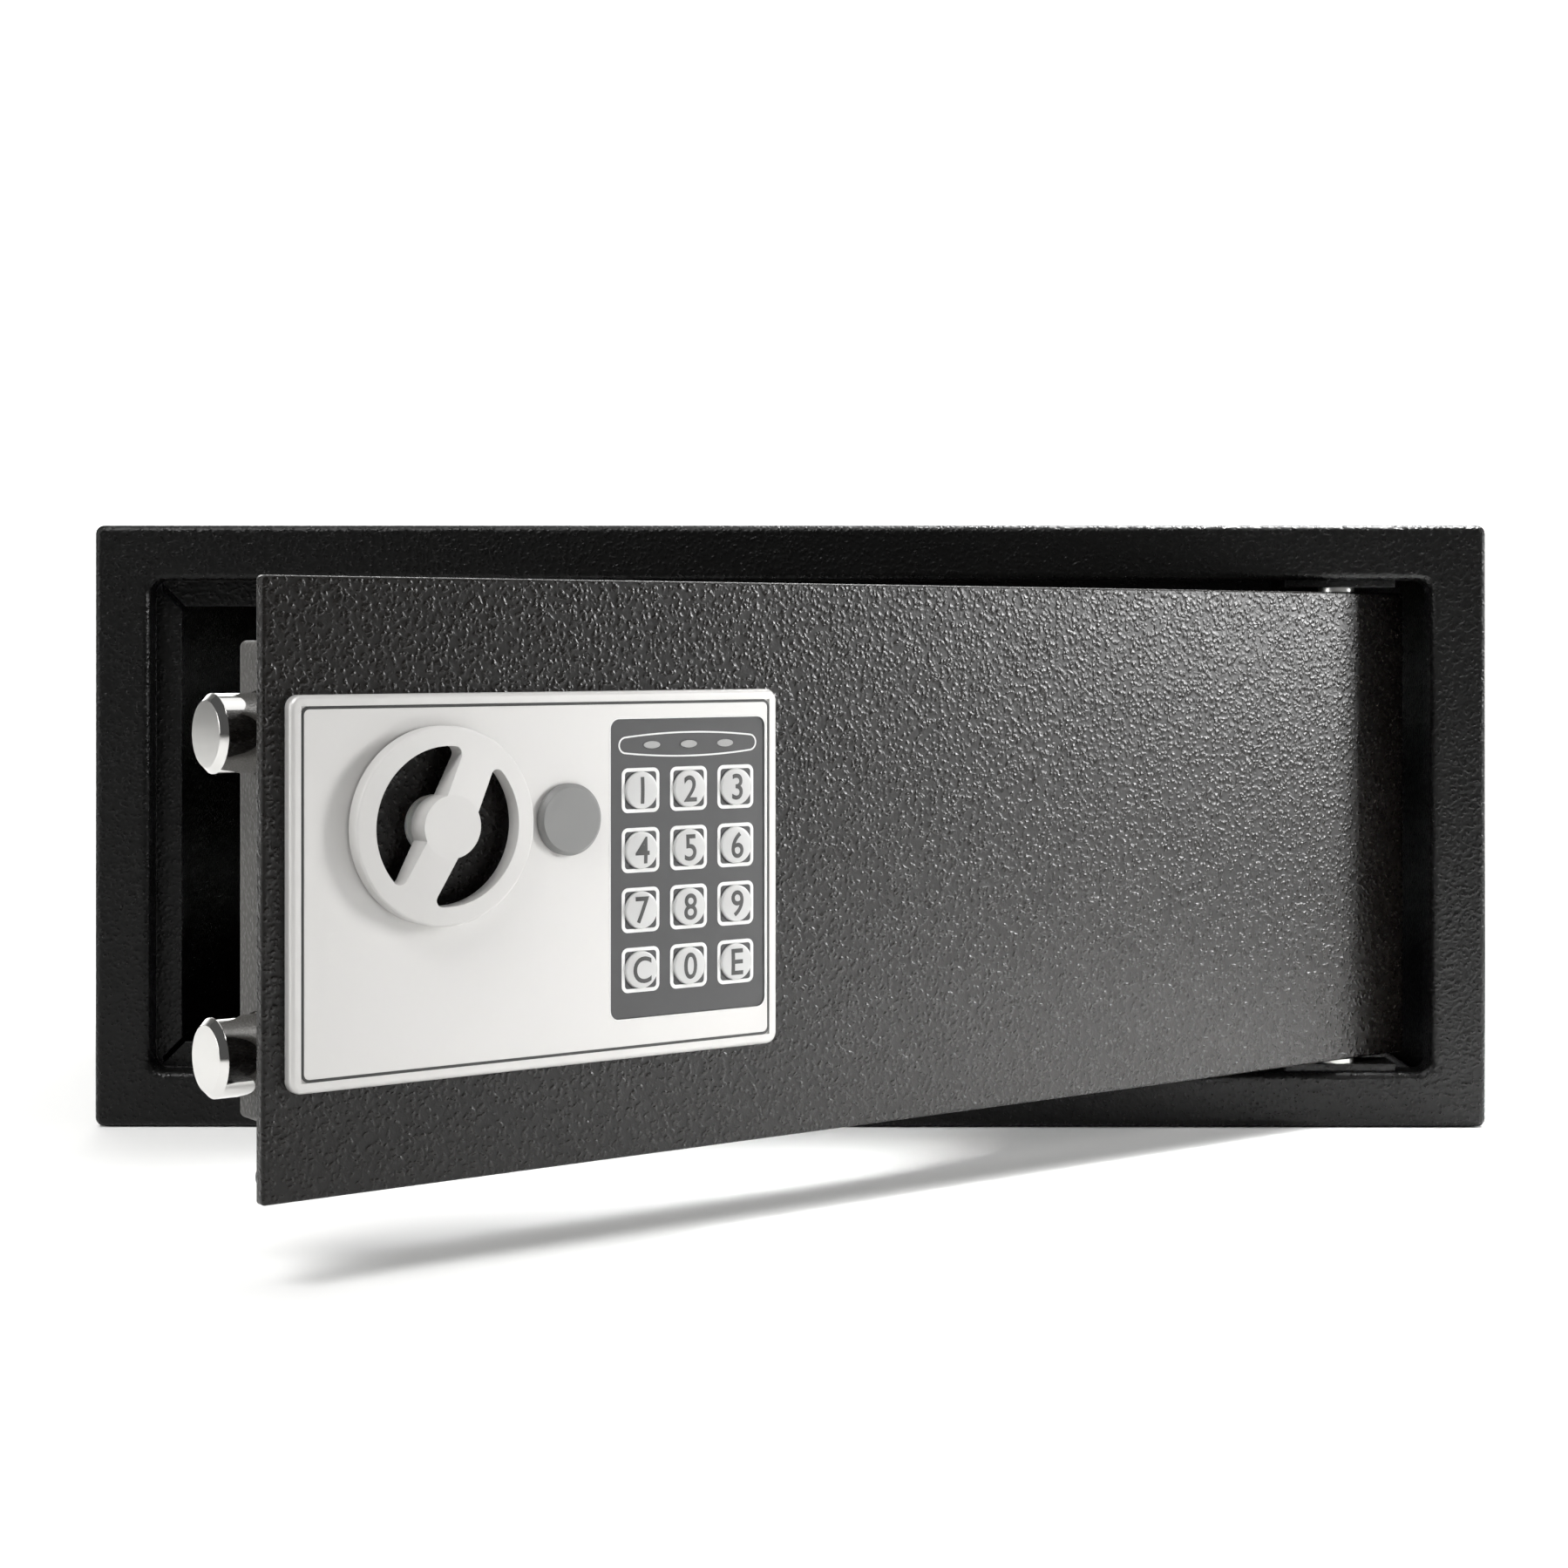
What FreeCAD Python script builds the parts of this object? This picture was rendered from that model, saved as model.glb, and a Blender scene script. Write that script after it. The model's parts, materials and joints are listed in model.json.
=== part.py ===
import FreeCAD, Part
import Sketcher
import os
import re

# In-room safe. +X right, +Y into the safe, +Z up. The origin is where the front plane meets the plane of the
# underside, at mid-width. Door pieces are drawn with the door shut, then stand open about the hinge pins.

doc = FreeCAD.newDocument("InRoomSafe")
sizes = doc.addObject("Spreadsheet::Sheet", "Sizes")

DRIVING = {
    # body
    "body_width": 430, "body_height": 186, "body_depth": 370, "corner_radius": 2.7, "sheet": 1.5,
    "rim_width": 17, "rim_depth": 18, "rim_bend": 2.2, "opening_radius": 4.4, "stop_depth": 9,
    "stop_width": 8, "stop_end": 150, "mitre_gap": 1.2, "anchor_radius": 5, "floor_anchor_x": 250,
    "floor_anchor_y": 200, "floor_anchor_mid": 200, "back_anchor_x": 250, "back_anchor_z": 80,
    "mat_thickness": 3, "mat_gap": 6, "mat_hole": 9,
    # door
    "door_gap": 3.75, "door_recess": 2, "door_plate": 3, "door_corner": 1, "rest_angle": 36,
    "pivot_inset": 24, "pivot_behind": 6.3, "pin_radius": 3, "pin_clearance": 0.05,
    "bracket_thickness": 2.2, "bracket_width": 34, "bracket_front": 2.5, "bracket_reach": 16,
    "lug_thickness": 2.5, "lug_width": 26, "lug_reach": 11, "lug_height": 20, "washer_radius": 5.5,
    "washer_gap": 0.1, "pin_past": 2,
    # lock box behind the door plate
    "box_sheet": 1.2, "box_depth": 29, "box_side": 8.5, "box_edge": 15, "box_hinge": 16, "box_bend": 1.6,
    "bumper_radius": 3.7, "bumper_thickness": 3.7, "bumper_bevel": 1.1, "bumper_inset": 4.6,
    "bumper_rise": 5.8, "post_radius": 3.5, "post_inset": 9, "post_across": 88, "post_edge": 6,
    # bolts and their drive
    "bolt_radius": 9.5, "bolt_chamfer": 1.6, "bolt_throw": 4.8, "bolt_spacing": 76, "bolt_drop": 2.6,
    "bolt_rear_wall": 0.8, "bolt_length": 52, "bolt_clearance": 0.05, "bolt_hole_gap": 0.6,
    "bolt_travel": 15, "knob_turn": 65, "guide_length": 10, "guide_wall": 3.5, "carriage_sheet": 2.5,
    "cam_edge": 1, "cam_thickness": 2.3, "cam_gap": 0.7, "cam_pin": 2.5, "slot_clearance": 0.35,
    "carriage_gap": 0.5, "carriage_arm": 12, "carriage_foot": 13, "tail_drop": 29, "tail_height": 12,
    "tail_past": 12,
    # panel
    "panel_left": 5.6, "panel_width": 137.3, "panel_height": 91.8, "panel_drop": 1.2,
    "panel_thickness": 3.2, "panel_corner": 3, "panel_round": 1.2, "groove_inset": 2.6,
    "groove_width": 0.7, "groove_depth": 0.35, "knob_across": 43.6, "knob_rise": 13.4, "knob_radius": 23.7,
    "knob_band": 4.7, "knob_cover": 2.2, "knob_gap": 0.6, "knob_rim": 4, "knob_crown": 2.75,
    "knob_bar": 9.2, "knob_hub": 7.5, "knob_tilt": 27, "knob_corner": 1.8, "knob_edge": 0.7,
    "spindle_radius": 5, "bush_wall": 1, "bush_flange": 1.2, "bush_lip": 1.2, "lock_across": 79.5,
    "cap_radius": 8.85, "cap_height": 2.1, "cap_skirt": 7.4, "cap_bevel": 0.9, "cap_wall": 1,
    "cap_gap": 0.1, "nose_length": 1.5, "nose_gap": 0.2, "lock_radius": 9, "nut_rim": 3.5, "nut_depth": 3,
    "key_slot": 0.8, "key_slot_half": 3.6, "key_slot_depth": 6, "lever_width": 8, "lever_sheet": 2,
    "lock_length": 19, "plug_radius": 5, "lever_length": 18,
    # keypad
    "pad_left": 91.8, "pad_width": 47.1, "pad_height": 74.9, "pad_corner": 2.4, "pad_thickness": 0.7,
    "pad_sink": 0.3, "well_inset": 1, "rim_inset": 1.2, "seat_rim": 3, "rim_root": 0.5,
    "switch_space": 3.6, "key_left": 100.9, "key_pitch_x": 14.45, "key_pitch_z": 14.95, "key_top": 20.4,
    "key_radius": 4.7, "key_proud": 0.4, "key_crown": 0.6, "key_bevel": 1.1, "key_travel": 0.8,
    "key_gap": 0.15, "key_depth": 1.85, "switch_width": 6, "switch_gap": 0.1, "pad_fit": 0.1,
    "pad_rise": 0.3, "key_drop": 0.6, "lens_proud": 0.2, "lens_pitch": 11.15, "lens_rise": 31.1,
    "lens_long": 2.45, "lens_short": 0.95,
    # inside the lock box
    "board_thickness": 1.6, "board_fit": 0.3, "board_left": 8, "board_width": 64, "board_stand": 13,
    "board_corner": 4, "board_post": 2.5, "solenoid_width": 18, "solenoid_height": 26,
    "solenoid_depth": 14, "solenoid_rise": 4, "solenoid_sheet": 2, "coil_radius": 6.6,
    "plunger_length": 14, "plunger_bevel": 0.8, "reset_across": 40, "reset_rise": 8, "reset_radius": 2.6,
    "reset_proud": 1.2, "reset_flange": 1, "reset_gap": 0.1, "coil_offset": 2, "plunger_radius": 4,
    "plunger_travel": 4, "notch_gap": 1.5, "cell_radius": 7.1, "cell_length": 50, "cell_gap": 0.2,
    "tray_wall": 1.5, "tray_room": 4, "tray_from_hinge": 112, "tray_lip": 2.5, "tray_flange": 1.2,
    "cover_gap": 0.2, "cover_sheet": 2, "cover_ribs": 5, "rib_pitch": 3,
}


def fill_sheet():
    for row, (alias, value) in enumerate(DRIVING.items(), 1):
        sizes.set(f"A{row}", alias.replace("_", " "))
        sizes.set(f"B{row}", str(value))
        sizes.setAlias(f"B{row}", alias)
    doc.recompute()


# places that several pieces share, each a formula on the sheet
PLACE = {
    "mid_z": "body_height / 2",
    "open_right": "(body_width / 2 - rim_width)",
    "open_top": "(body_height - rim_width)",
    "door_left": "(rim_width + door_gap - body_width / 2)",
    "door_right": "(body_width / 2 - rim_width - door_gap)",
    "door_low": "(rim_width + door_gap)",
    "door_high": "(body_height - rim_width - door_gap)",
    "plate_back": "(door_recess + door_plate)",
    "pivot_x": "(body_width / 2 - rim_width - door_gap - pivot_inset)",
    "pivot_y": "(door_recess + pivot_behind)",
    "box_left": "(rim_width + door_gap - body_width / 2 + box_side)",
    "box_right": "(body_width / 2 - rim_width - door_gap - pivot_inset - box_hinge)",
    "box_low": "(rim_width + door_gap + box_edge)",
    "box_high": "(body_height - rim_width - door_gap - box_edge)",
    "box_back": "(door_recess + door_plate + box_depth)",
    "bolt_y": "(door_recess + door_plate + box_depth - box_sheet - bolt_radius - bolt_rear_wall)",
    "bolt_tip": "(rim_width + door_gap - body_width / 2 - bolt_throw)",
    "bolt_end": "(rim_width + door_gap - body_width / 2 - bolt_throw + bolt_length)",
    "bolt_low": "(body_height / 2 - bolt_drop - bolt_spacing / 2)",
    "bolt_high": "(body_height / 2 - bolt_drop + bolt_spacing / 2)",
    "panel_x": "(rim_width + door_gap - body_width / 2 + panel_left)",
    "panel_z": "(body_height / 2 - panel_drop - panel_height / 2)",
    "panel_face": "(door_recess - panel_thickness)",
    "knob_x": "(rim_width + door_gap - body_width / 2 + knob_across)",
    "knob_z": "(body_height / 2 + knob_rise)",
    "knob_back": "(door_recess - panel_thickness - knob_gap)",
    "cam_y": "(door_recess + door_plate + cam_gap)",
    "cam_reach": "(bolt_travel / 2 / sin(knob_turn / 2))",
    "coil_x": "(rim_width + door_gap - body_width / 2 + lock_across - coil_offset)",
    "lock_x": "(rim_width + door_gap - body_width / 2 + lock_across)",
    "pad_x": "(rim_width + door_gap - body_width / 2 + pad_left)",
    "pad_z": "(body_height / 2 - pad_height / 2 + pad_rise)",
    "pad_face": "(door_recess - panel_thickness + pad_sink)",
    "board_seat": "(door_recess - panel_thickness + pad_sink + pad_thickness + switch_space)",
    "key_x": "(rim_width + door_gap - body_width / 2 + key_left)",
    "key_z": "(body_height / 2 + key_top - key_drop)",
    "slide_y": "(door_recess + door_plate + cam_gap + cam_thickness + carriage_gap)",
    "slide_back": "(door_recess + door_plate + cam_gap + cam_thickness + carriage_gap + carriage_sheet)",
    "pin_up": "(bolt_travel / 2 / tan(knob_turn / 2))",
    "tray_left": "(body_width / 2 - rim_width - door_gap - pivot_inset - box_hinge - tray_from_hinge)",
    "reset_x": "(rim_width + door_gap - body_width / 2 + pad_left + pad_width + reset_across)",
    "reset_z": "(body_height / 2 + reset_rise)",
    "pad_rear": "(door_recess - panel_thickness + pad_sink + pad_thickness)",
    "slide_right": "(rim_width + door_gap - body_width / 2 - bolt_throw + bolt_length + carriage_sheet)",
}
WORD = re.compile(r"[a-z][a-z_]+")


def bound(formula):
    """A formula with each shared place spelt out and each size read from the sheet."""
    text = WORD.sub(lambda m: PLACE.get(m.group(), m.group()), str(formula))
    return WORD.sub(lambda m: "Sizes." + m.group() if m.group() in DRIVING else m.group(), text)


def amount(formula):
    return float(sizes.evalExpression(bound(formula)))


def swing(piece):
    """Turns a door piece, drawn shut, to where the door stands open."""
    piece.setExpression("Placement.Rotation.Angle", bound("rest_angle"))
    piece.setExpression(
        "Placement.Base.x", bound("pivot_x * (1 - cos(rest_angle)) + pivot_y * sin(rest_angle)"))
    piece.setExpression(
        "Placement.Base.y", bound("pivot_y * (1 - cos(rest_angle)) - pivot_x * sin(rest_angle)"))


def new_body(label, door=False):
    body = doc.addObject("PartDesign::Body", label)
    body.Label = label
    if door:
        swing(body)
    return body


def new_sketch(body, plane, at):
    sketch = body.newObject("Sketcher::SketchObject", body.Name + "Sketch")
    face = [f for f in body.Origin.OriginFeatures if f.Role == plane + "_Plane"][0]
    sketch.AttachmentSupport = [(face, "")]
    sketch.MapMode = "FlatFace"
    sign = "-" if plane == "XZ" else ""
    sketch.setExpression("AttachmentOffset.Base.z", bound(f"{sign}({at})"))
    return sketch


def pin_point(sketch, geo, end, x, y):
    """Ties one point of a sketch to two formulas, measured from the origin."""
    for kind, formula in (("DistanceX", x), ("DistanceY", y)):
        index = sketch.addConstraint(Sketcher.Constraint(kind, -1, 1, geo, end, amount(formula)))
        sketch.setExpression(f"Constraints[{index}]", bound(formula))


def draw_outline(sketch, points):
    """A closed outline of straight sides through the points."""
    spots = [FreeCAD.Vector(amount(x), amount(y), 0) for x, y in points]
    first = sketch.GeometryCount
    for n, spot in enumerate(spots):
        sketch.addGeometry(Part.LineSegment(spot, spots[(n + 1) % len(spots)]), False)
    for n, (x, y) in enumerate(points):
        pin_point(sketch, first + n, 1, x, y)
        sketch.addConstraint(Sketcher.Constraint("Coincident", first + n, 2, first + (n + 1) % len(spots), 1))


def draw_box(sketch, x0, y0, x1, y1):
    draw_outline(sketch, [(x0, y0), (x1, y0), (x1, y1), (x0, y1)])


def draw_circle(sketch, x, y, radius):
    place = FreeCAD.Vector(amount(x), amount(y), 0)
    geo = sketch.addGeometry(Part.Circle(place, FreeCAD.Vector(0, 0, 1), amount(radius)), False)
    pin_point(sketch, geo, 3, x, y)
    index = sketch.addConstraint(Sketcher.Constraint("Radius", geo, amount(radius)))
    sketch.setExpression(f"Constraints[{index}]", bound(radius))


def draw_ellipse(sketch, x, y, half_x, half_y):
    place = FreeCAD.Vector(amount(x), amount(y), 0)
    tip = place + FreeCAD.Vector(amount(half_x), 0, 0)
    top = place + FreeCAD.Vector(0, amount(half_y), 0)
    geo = sketch.addGeometry(Part.Ellipse(tip, top, place), False)
    pin_point(sketch, geo, 3, x, y)


def extrude(body, plane, start, end, draw, cut=False):
    """A pad, or a pocket if cut, between two places along the plane's axis."""
    sketch = new_sketch(body, plane, start)
    draw(sketch)
    before = body.Tip.Shape.Volume if cut else 0
    feature = body.newObject("PartDesign::Pocket" if cut else "PartDesign::Pad", "Step")
    feature.Profile = sketch
    feature.setExpression("Length", bound(f"({end}) - ({start})"))
    feature.Reversed = (plane == "XZ") != cut
    sketch.Visibility = False
    doc.recompute()
    if cut and not feature.Shape.Volume < before - 1e-6:
        raise RuntimeError(f"a pocket in {body.Label} cuts nothing")
    return feature


def round_edges(body, radius, pick, kind="Fillet"):
    """Rounds, or with kind Chamfer bevels, the edges of the body that pick chooses."""
    base = body.Tip
    names = [f"Edge{n}" for n, edge in enumerate(base.Shape.Edges, 1) if pick(edge)]
    feature = body.newObject("PartDesign::" + kind, kind)
    feature.Base = (base, names)
    feature.setExpression("Radius" if kind == "Fillet" else "Size", bound(radius))
    doc.recompute()
    return feature


def along(axis):
    """Chooses straight edges that run along one axis."""
    def test(edge):
        if not isinstance(edge.Curve, Part.Line):
            return False
        return abs(abs(getattr(edge.Curve.Direction, axis)) - 1) < 1e-6
    return test


def lying_at(axis, place, inside=None):
    """Chooses edges that lie wholly in one plane, and, if given, within a box of the other axes."""
    level = amount(place)

    def test(edge):
        box = edge.BoundBox
        low, high = getattr(box, axis + "Min"), getattr(box, axis + "Max")
        if abs(low - level) > 1e-4 or abs(high - level) > 1e-4:
            return False
        return inside is None or inside(box)
    return test


def turned(label, direction, across, offset, points, door=False):
    """A turned piece. Points are (radius, place along the axis). The axis runs along Y at x = across and
    z = offset, along X at y = across and z = offset, or along Z at x = across and y = offset."""
    body = new_body(label, door)
    sketch = new_sketch(body, "XZ" if direction == "Z" else "XY", offset)
    if direction == "X":
        outline = [(place, f"({across}) + ({radius})") for radius, place in points]
        ends = [(points[0][1], across), (points[-1][1], across)]
    else:
        outline = [(f"({across}) + ({radius})", place) for radius, place in points]
        ends = [(across, points[0][1]), (across, points[-1][1])]
    draw_outline(sketch, outline)
    line = Part.LineSegment(*[FreeCAD.Vector(amount(x), amount(y), 0) for x, y in ends])
    axis = sketch.addGeometry(line, True)
    for end, (x, y) in enumerate(ends, 1):
        pin_point(sketch, axis, end, x, y)
    feature = body.newObject("PartDesign::Revolution", "Turn")
    feature.Profile = sketch
    feature.ReferenceAxis = (sketch, ["Axis0"])
    feature.Angle = 360
    sketch.Visibility = False
    doc.recompute()
    return body


def rod(label, direction, across, offset, radius, start, end, door=False):
    return turned(label, direction, across, offset, [("0", start), (radius, start), (radius, end), ("0", end)],
                  door=door)


def draw_hexagon(sketch, x, z, half):
    """A hexagon with two upright sides, half wide from its middle to a flat."""
    side, peak = f"({half}) * tan(30)", f"({half}) / cos(30)"
    draw_outline(sketch, [
        (f"{x} + {half}", f"{z} - {side}"), (f"{x} + {half}", f"{z} + {side}"), (x, f"{z} + {peak}"),
        (f"{x} - {half}", f"{z} + {side}"), (f"{x} - {half}", f"{z} - {side}"), (x, f"{z} - {peak}")])


def hex_post(label, x, z, half, start, end):
    """A hexagonal spacer on the door."""
    post = new_body(label, door=True)
    extrude(post, "XZ", start, end, lambda s: draw_hexagon(s, x, z, half))
    return post


def group(label, pieces, door=False):
    """Several separate solids under one name, for identical fasteners and the like."""
    joined = doc.addObject("Part::Compound", label)
    joined.Label = label
    joined.Links = pieces
    doc.recompute()
    return joined


finished = []


def keep(piece):
    finished.append(piece)
    return piece


def make_front_frame():
    """Pressed front: outer return, flat rim, inner return and the door stop on three sides, mitred at its
    corners. The hinge side has no stop, because the door's tail swings in there."""
    frame = new_body("front_frame")
    half = "body_width / 2"
    extrude(frame, "XZ", "0", "rim_depth", lambda s: draw_box(s, f"-{half}", "0", half, "body_height"))
    round_edges(frame, "corner_radius", along("y"))
    round_edges(frame, "rim_bend", lying_at("Y", "0"))
    extrude(frame, "XZ", "sheet", "rim_depth",
            lambda s: draw_box(s, f"sheet - {half}", "sheet", f"{half} - sheet", "body_height - sheet"),
            cut=True)
    extrude(frame, "XZ", "sheet / 2", "stop_depth + sheet",
            lambda s: draw_box(s, "-open_right - sheet", "rim_width - sheet", "open_right + sheet",
                               "open_top + sheet"))
    extrude(frame, "XZ", "0", "stop_depth",
            lambda s: draw_box(s, "-open_right", "rim_width", "open_right", "open_top"), cut=True)
    limit = amount("open_right") + 0.1
    corner = lambda edge: along("y")(edge) and abs(edge.BoundBox.XMin) < limit
    round_edges(frame, "opening_radius", corner)
    extrude(frame, "XZ", "stop_depth", "stop_depth + sheet",
            lambda s: draw_outline(s, [
                ("-open_right + stop_width", "rim_width + stop_width"),
                ("stop_end", "rim_width + stop_width"),
                ("stop_end", "rim_width"), ("open_right", "rim_width"), ("open_right", "open_top"),
                ("stop_end", "open_top"), ("stop_end", "open_top - stop_width"),
                ("-open_right + stop_width", "open_top - stop_width")]), cut=True)
    for edge, turn in (("rim_width", "1"), ("open_top", "-1")):
        extrude(frame, "XZ", "stop_depth", "stop_depth + sheet",
                lambda s: draw_outline(s, [
                    ("-open_right + 2", f"{edge} + {turn} * (2 - mitre_gap)"),
                    ("-open_right + stop_width + 1", f"{edge} + {turn} * (stop_width + 1 - mitre_gap)"),
                    ("-open_right + stop_width + 1", f"{edge} + {turn} * (stop_width + 1 + mitre_gap)"),
                    ("-open_right + 2", f"{edge} + {turn} * (2 + mitre_gap)")]), cut=True)
    near = lambda box: box.XMin > -limit and box.XMax < limit and box.ZMin > amount("rim_width") - 0.1
    round_edges(frame, "rim_bend", lying_at("Y", "0", near))
    keep(frame)


def make_shell():
    """The welded tube behind the front frame, its back panel and the mat on its floor."""
    half = "body_width / 2"
    wrap = new_body("body_wrap")
    extrude(wrap, "XZ", "rim_depth", "body_depth - sheet",
            lambda s: draw_box(s, f"-{half}", "0", half, "body_height"))
    round_edges(wrap, "corner_radius", along("y"))
    extrude(wrap, "XZ", "rim_depth", "body_depth - sheet",
            lambda s: draw_box(s, f"sheet - {half}", "sheet", f"{half} - sheet", "body_height - sheet"),
            cut=True)

    def floor_holes(sketch, radius="anchor_radius"):
        for x in ("-floor_anchor_x / 2", "floor_anchor_x / 2"):
            for y in ("floor_anchor_mid - floor_anchor_y / 2", "floor_anchor_mid + floor_anchor_y / 2"):
                draw_circle(sketch, x, y, radius)
    extrude(wrap, "XY", "0", "sheet", floor_holes, cut=True)
    keep(wrap)

    back = new_body("back_panel")
    extrude(back, "XZ", "body_depth - sheet", "body_depth",
            lambda s: draw_box(s, f"-{half}", "0", half, "body_height"))
    round_edges(back, "corner_radius", along("y"))

    def back_holes(sketch):
        for x in ("-back_anchor_x / 2", "back_anchor_x / 2"):
            for z in ("mid_z - back_anchor_z / 2", "mid_z + back_anchor_z / 2"):
                draw_circle(sketch, x, z, "anchor_radius")
    extrude(back, "XZ", "body_depth - sheet", "body_depth", back_holes, cut=True)
    keep(back)

    mat = new_body("floor_mat")
    extrude(mat, "XY", "sheet", "sheet + mat_thickness",
            lambda s: draw_box(s, f"mat_gap - {half}", "rim_depth + mat_gap", f"{half} - mat_gap",
                               "body_depth - sheet - mat_gap"))
    extrude(mat, "XY", "sheet", "sheet + mat_thickness", lambda s: floor_holes(s, "mat_hole"), cut=True)
    keep(mat)


def make_hinges():
    """At the top and bottom of the door: a bracket on the frame, a fixed pin with a washer, and a lug with
    a gusset on the door, bored to run on the pin."""
    brackets, pins, washers, lugs = [], [], [], []
    gap = "(door_gap - bracket_thickness)"
    for side, edge, sign in (("lower", "rim_width", 1), ("upper", "open_top", -1)):
        place = lambda formula: f"({edge}) + ({sign}) * ({formula})"
        span = lambda a, b: (place(a), place(b)) if sign > 0 else (place(b), place(a))
        bracket = new_body(side + "_bracket")
        extrude(bracket, "XY", *span("0", "bracket_thickness"),
                lambda s: (draw_box(s, "pivot_x - bracket_width / 2", "bracket_front",
                                    "pivot_x + bracket_width / 2", "bracket_reach"),
                           draw_circle(s, "pivot_x", "pivot_y", "pin_radius")))
        brackets.append(bracket)
        pins.append(rod(side + "_pin", "Z", "pivot_x", "pivot_y", "pin_radius",
                        *span("0", "door_gap + lug_thickness + pin_past")))
        low, high = span("bracket_thickness", "door_gap - washer_gap")
        washer = new_body(side + "_washer")
        extrude(washer, "XY", low, high,
                lambda s: (draw_circle(s, "pivot_x", "pivot_y", "washer_radius"),
                           draw_circle(s, "pivot_x", "pivot_y", "pin_radius")))
        washers.append(washer)
        lug = new_body(side + "_lug", door=True)
        extrude(lug, "XY", *span("door_gap", "door_gap + lug_thickness"),
                lambda s: (draw_box(s, "pivot_x - lug_width / 2", "plate_back", "pivot_x + lug_width / 2",
                                    "plate_back + lug_reach"),
                           draw_circle(s, "pivot_x", "pivot_y", "pin_radius + pin_clearance")))
        extrude(lug, "XY", *span("door_gap", "door_gap + lug_height"),
                lambda s: draw_box(s, "pivot_x - lug_width / 2", "plate_back",
                                   "pivot_x - lug_width / 2 + lug_thickness", "plate_back + lug_reach"))
        lugs.append(lug)
    keep(group("hinge_brackets", brackets))
    keep(group("hinge_pins", pins))
    keep(group("hinge_washers", washers))
    keep(group("door_hinge_lugs", lugs))


def post_places():
    return [(x, z) for x in ("box_left + post_across", "box_right - post_inset")
            for z in ("box_low + post_edge", "box_high - post_edge")]


def make_door_plate():
    plate = new_body("door_plate", door=True)
    extrude(plate, "XZ", "door_recess", "plate_back",
            lambda s: draw_box(s, "door_left", "door_low", "door_right", "door_high"))
    round_edges(plate, "door_corner", along("y"))
    round_edges(plate, "door_corner * 0.8", lying_at("Y", "door_recess"))

    def holes(sketch):
        draw_circle(sketch, "knob_x", "knob_z", "spindle_radius + bush_wall")
        draw_circle(sketch, "lock_x", "knob_z", "lock_radius")
        well(sketch, "well_inset")
    extrude(plate, "XZ", "door_recess", "plate_back", holes, cut=True)
    keep(plate)


def make_lock_box():
    """The folded pan behind the plate, the posts and screws that hold it, and the door's bumper."""
    box = new_body("lock_box", door=True)
    extrude(box, "XZ", "plate_back", "box_back",
            lambda s: draw_box(s, "box_left", "box_low", "box_right", "box_high"))
    round_edges(box, "box_bend", along("y"))
    round_edges(box, "box_bend", lying_at("Y", "box_back"))
    extrude(box, "XZ", "plate_back", "box_back - box_sheet",
            lambda s: draw_box(s, "box_left + box_sheet", "box_low + box_sheet", "box_right - box_sheet",
                               "box_high - box_sheet"), cut=True)

    def bolt_holes(sketch):
        for z in ("bolt_low", "bolt_high"):
            draw_circle(sketch, "bolt_y", z, "bolt_radius + bolt_hole_gap")
    extrude(box, "YZ", "box_left", "box_left + box_sheet", bolt_holes, cut=True)

    def back_holes(sketch):
        tray_outline(sketch, "0")
        draw_circle(sketch, "reset_x", "reset_z", "reset_radius + reset_gap")
    extrude(box, "XZ", "box_back - box_sheet", "box_back", back_holes, cut=True)
    keep(box)

    keep(group("lock_box_posts", [
        hex_post(f"lock_box_post_{n}", x, z, "post_radius", "plate_back", "box_back - box_sheet")
        for n, (x, z) in enumerate(post_places(), 1)]))
    keep(turned("door_bumper", "Y", "door_left + bumper_inset", "door_low + bumper_rise",
                [("0", "plate_back"), ("bumper_radius", "plate_back"),
                 ("bumper_radius", "plate_back + bumper_thickness - bumper_bevel"),
                 ("bumper_radius - bumper_bevel", "plate_back + bumper_thickness"),
                 ("0", "plate_back + bumper_thickness")], door=True))


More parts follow.
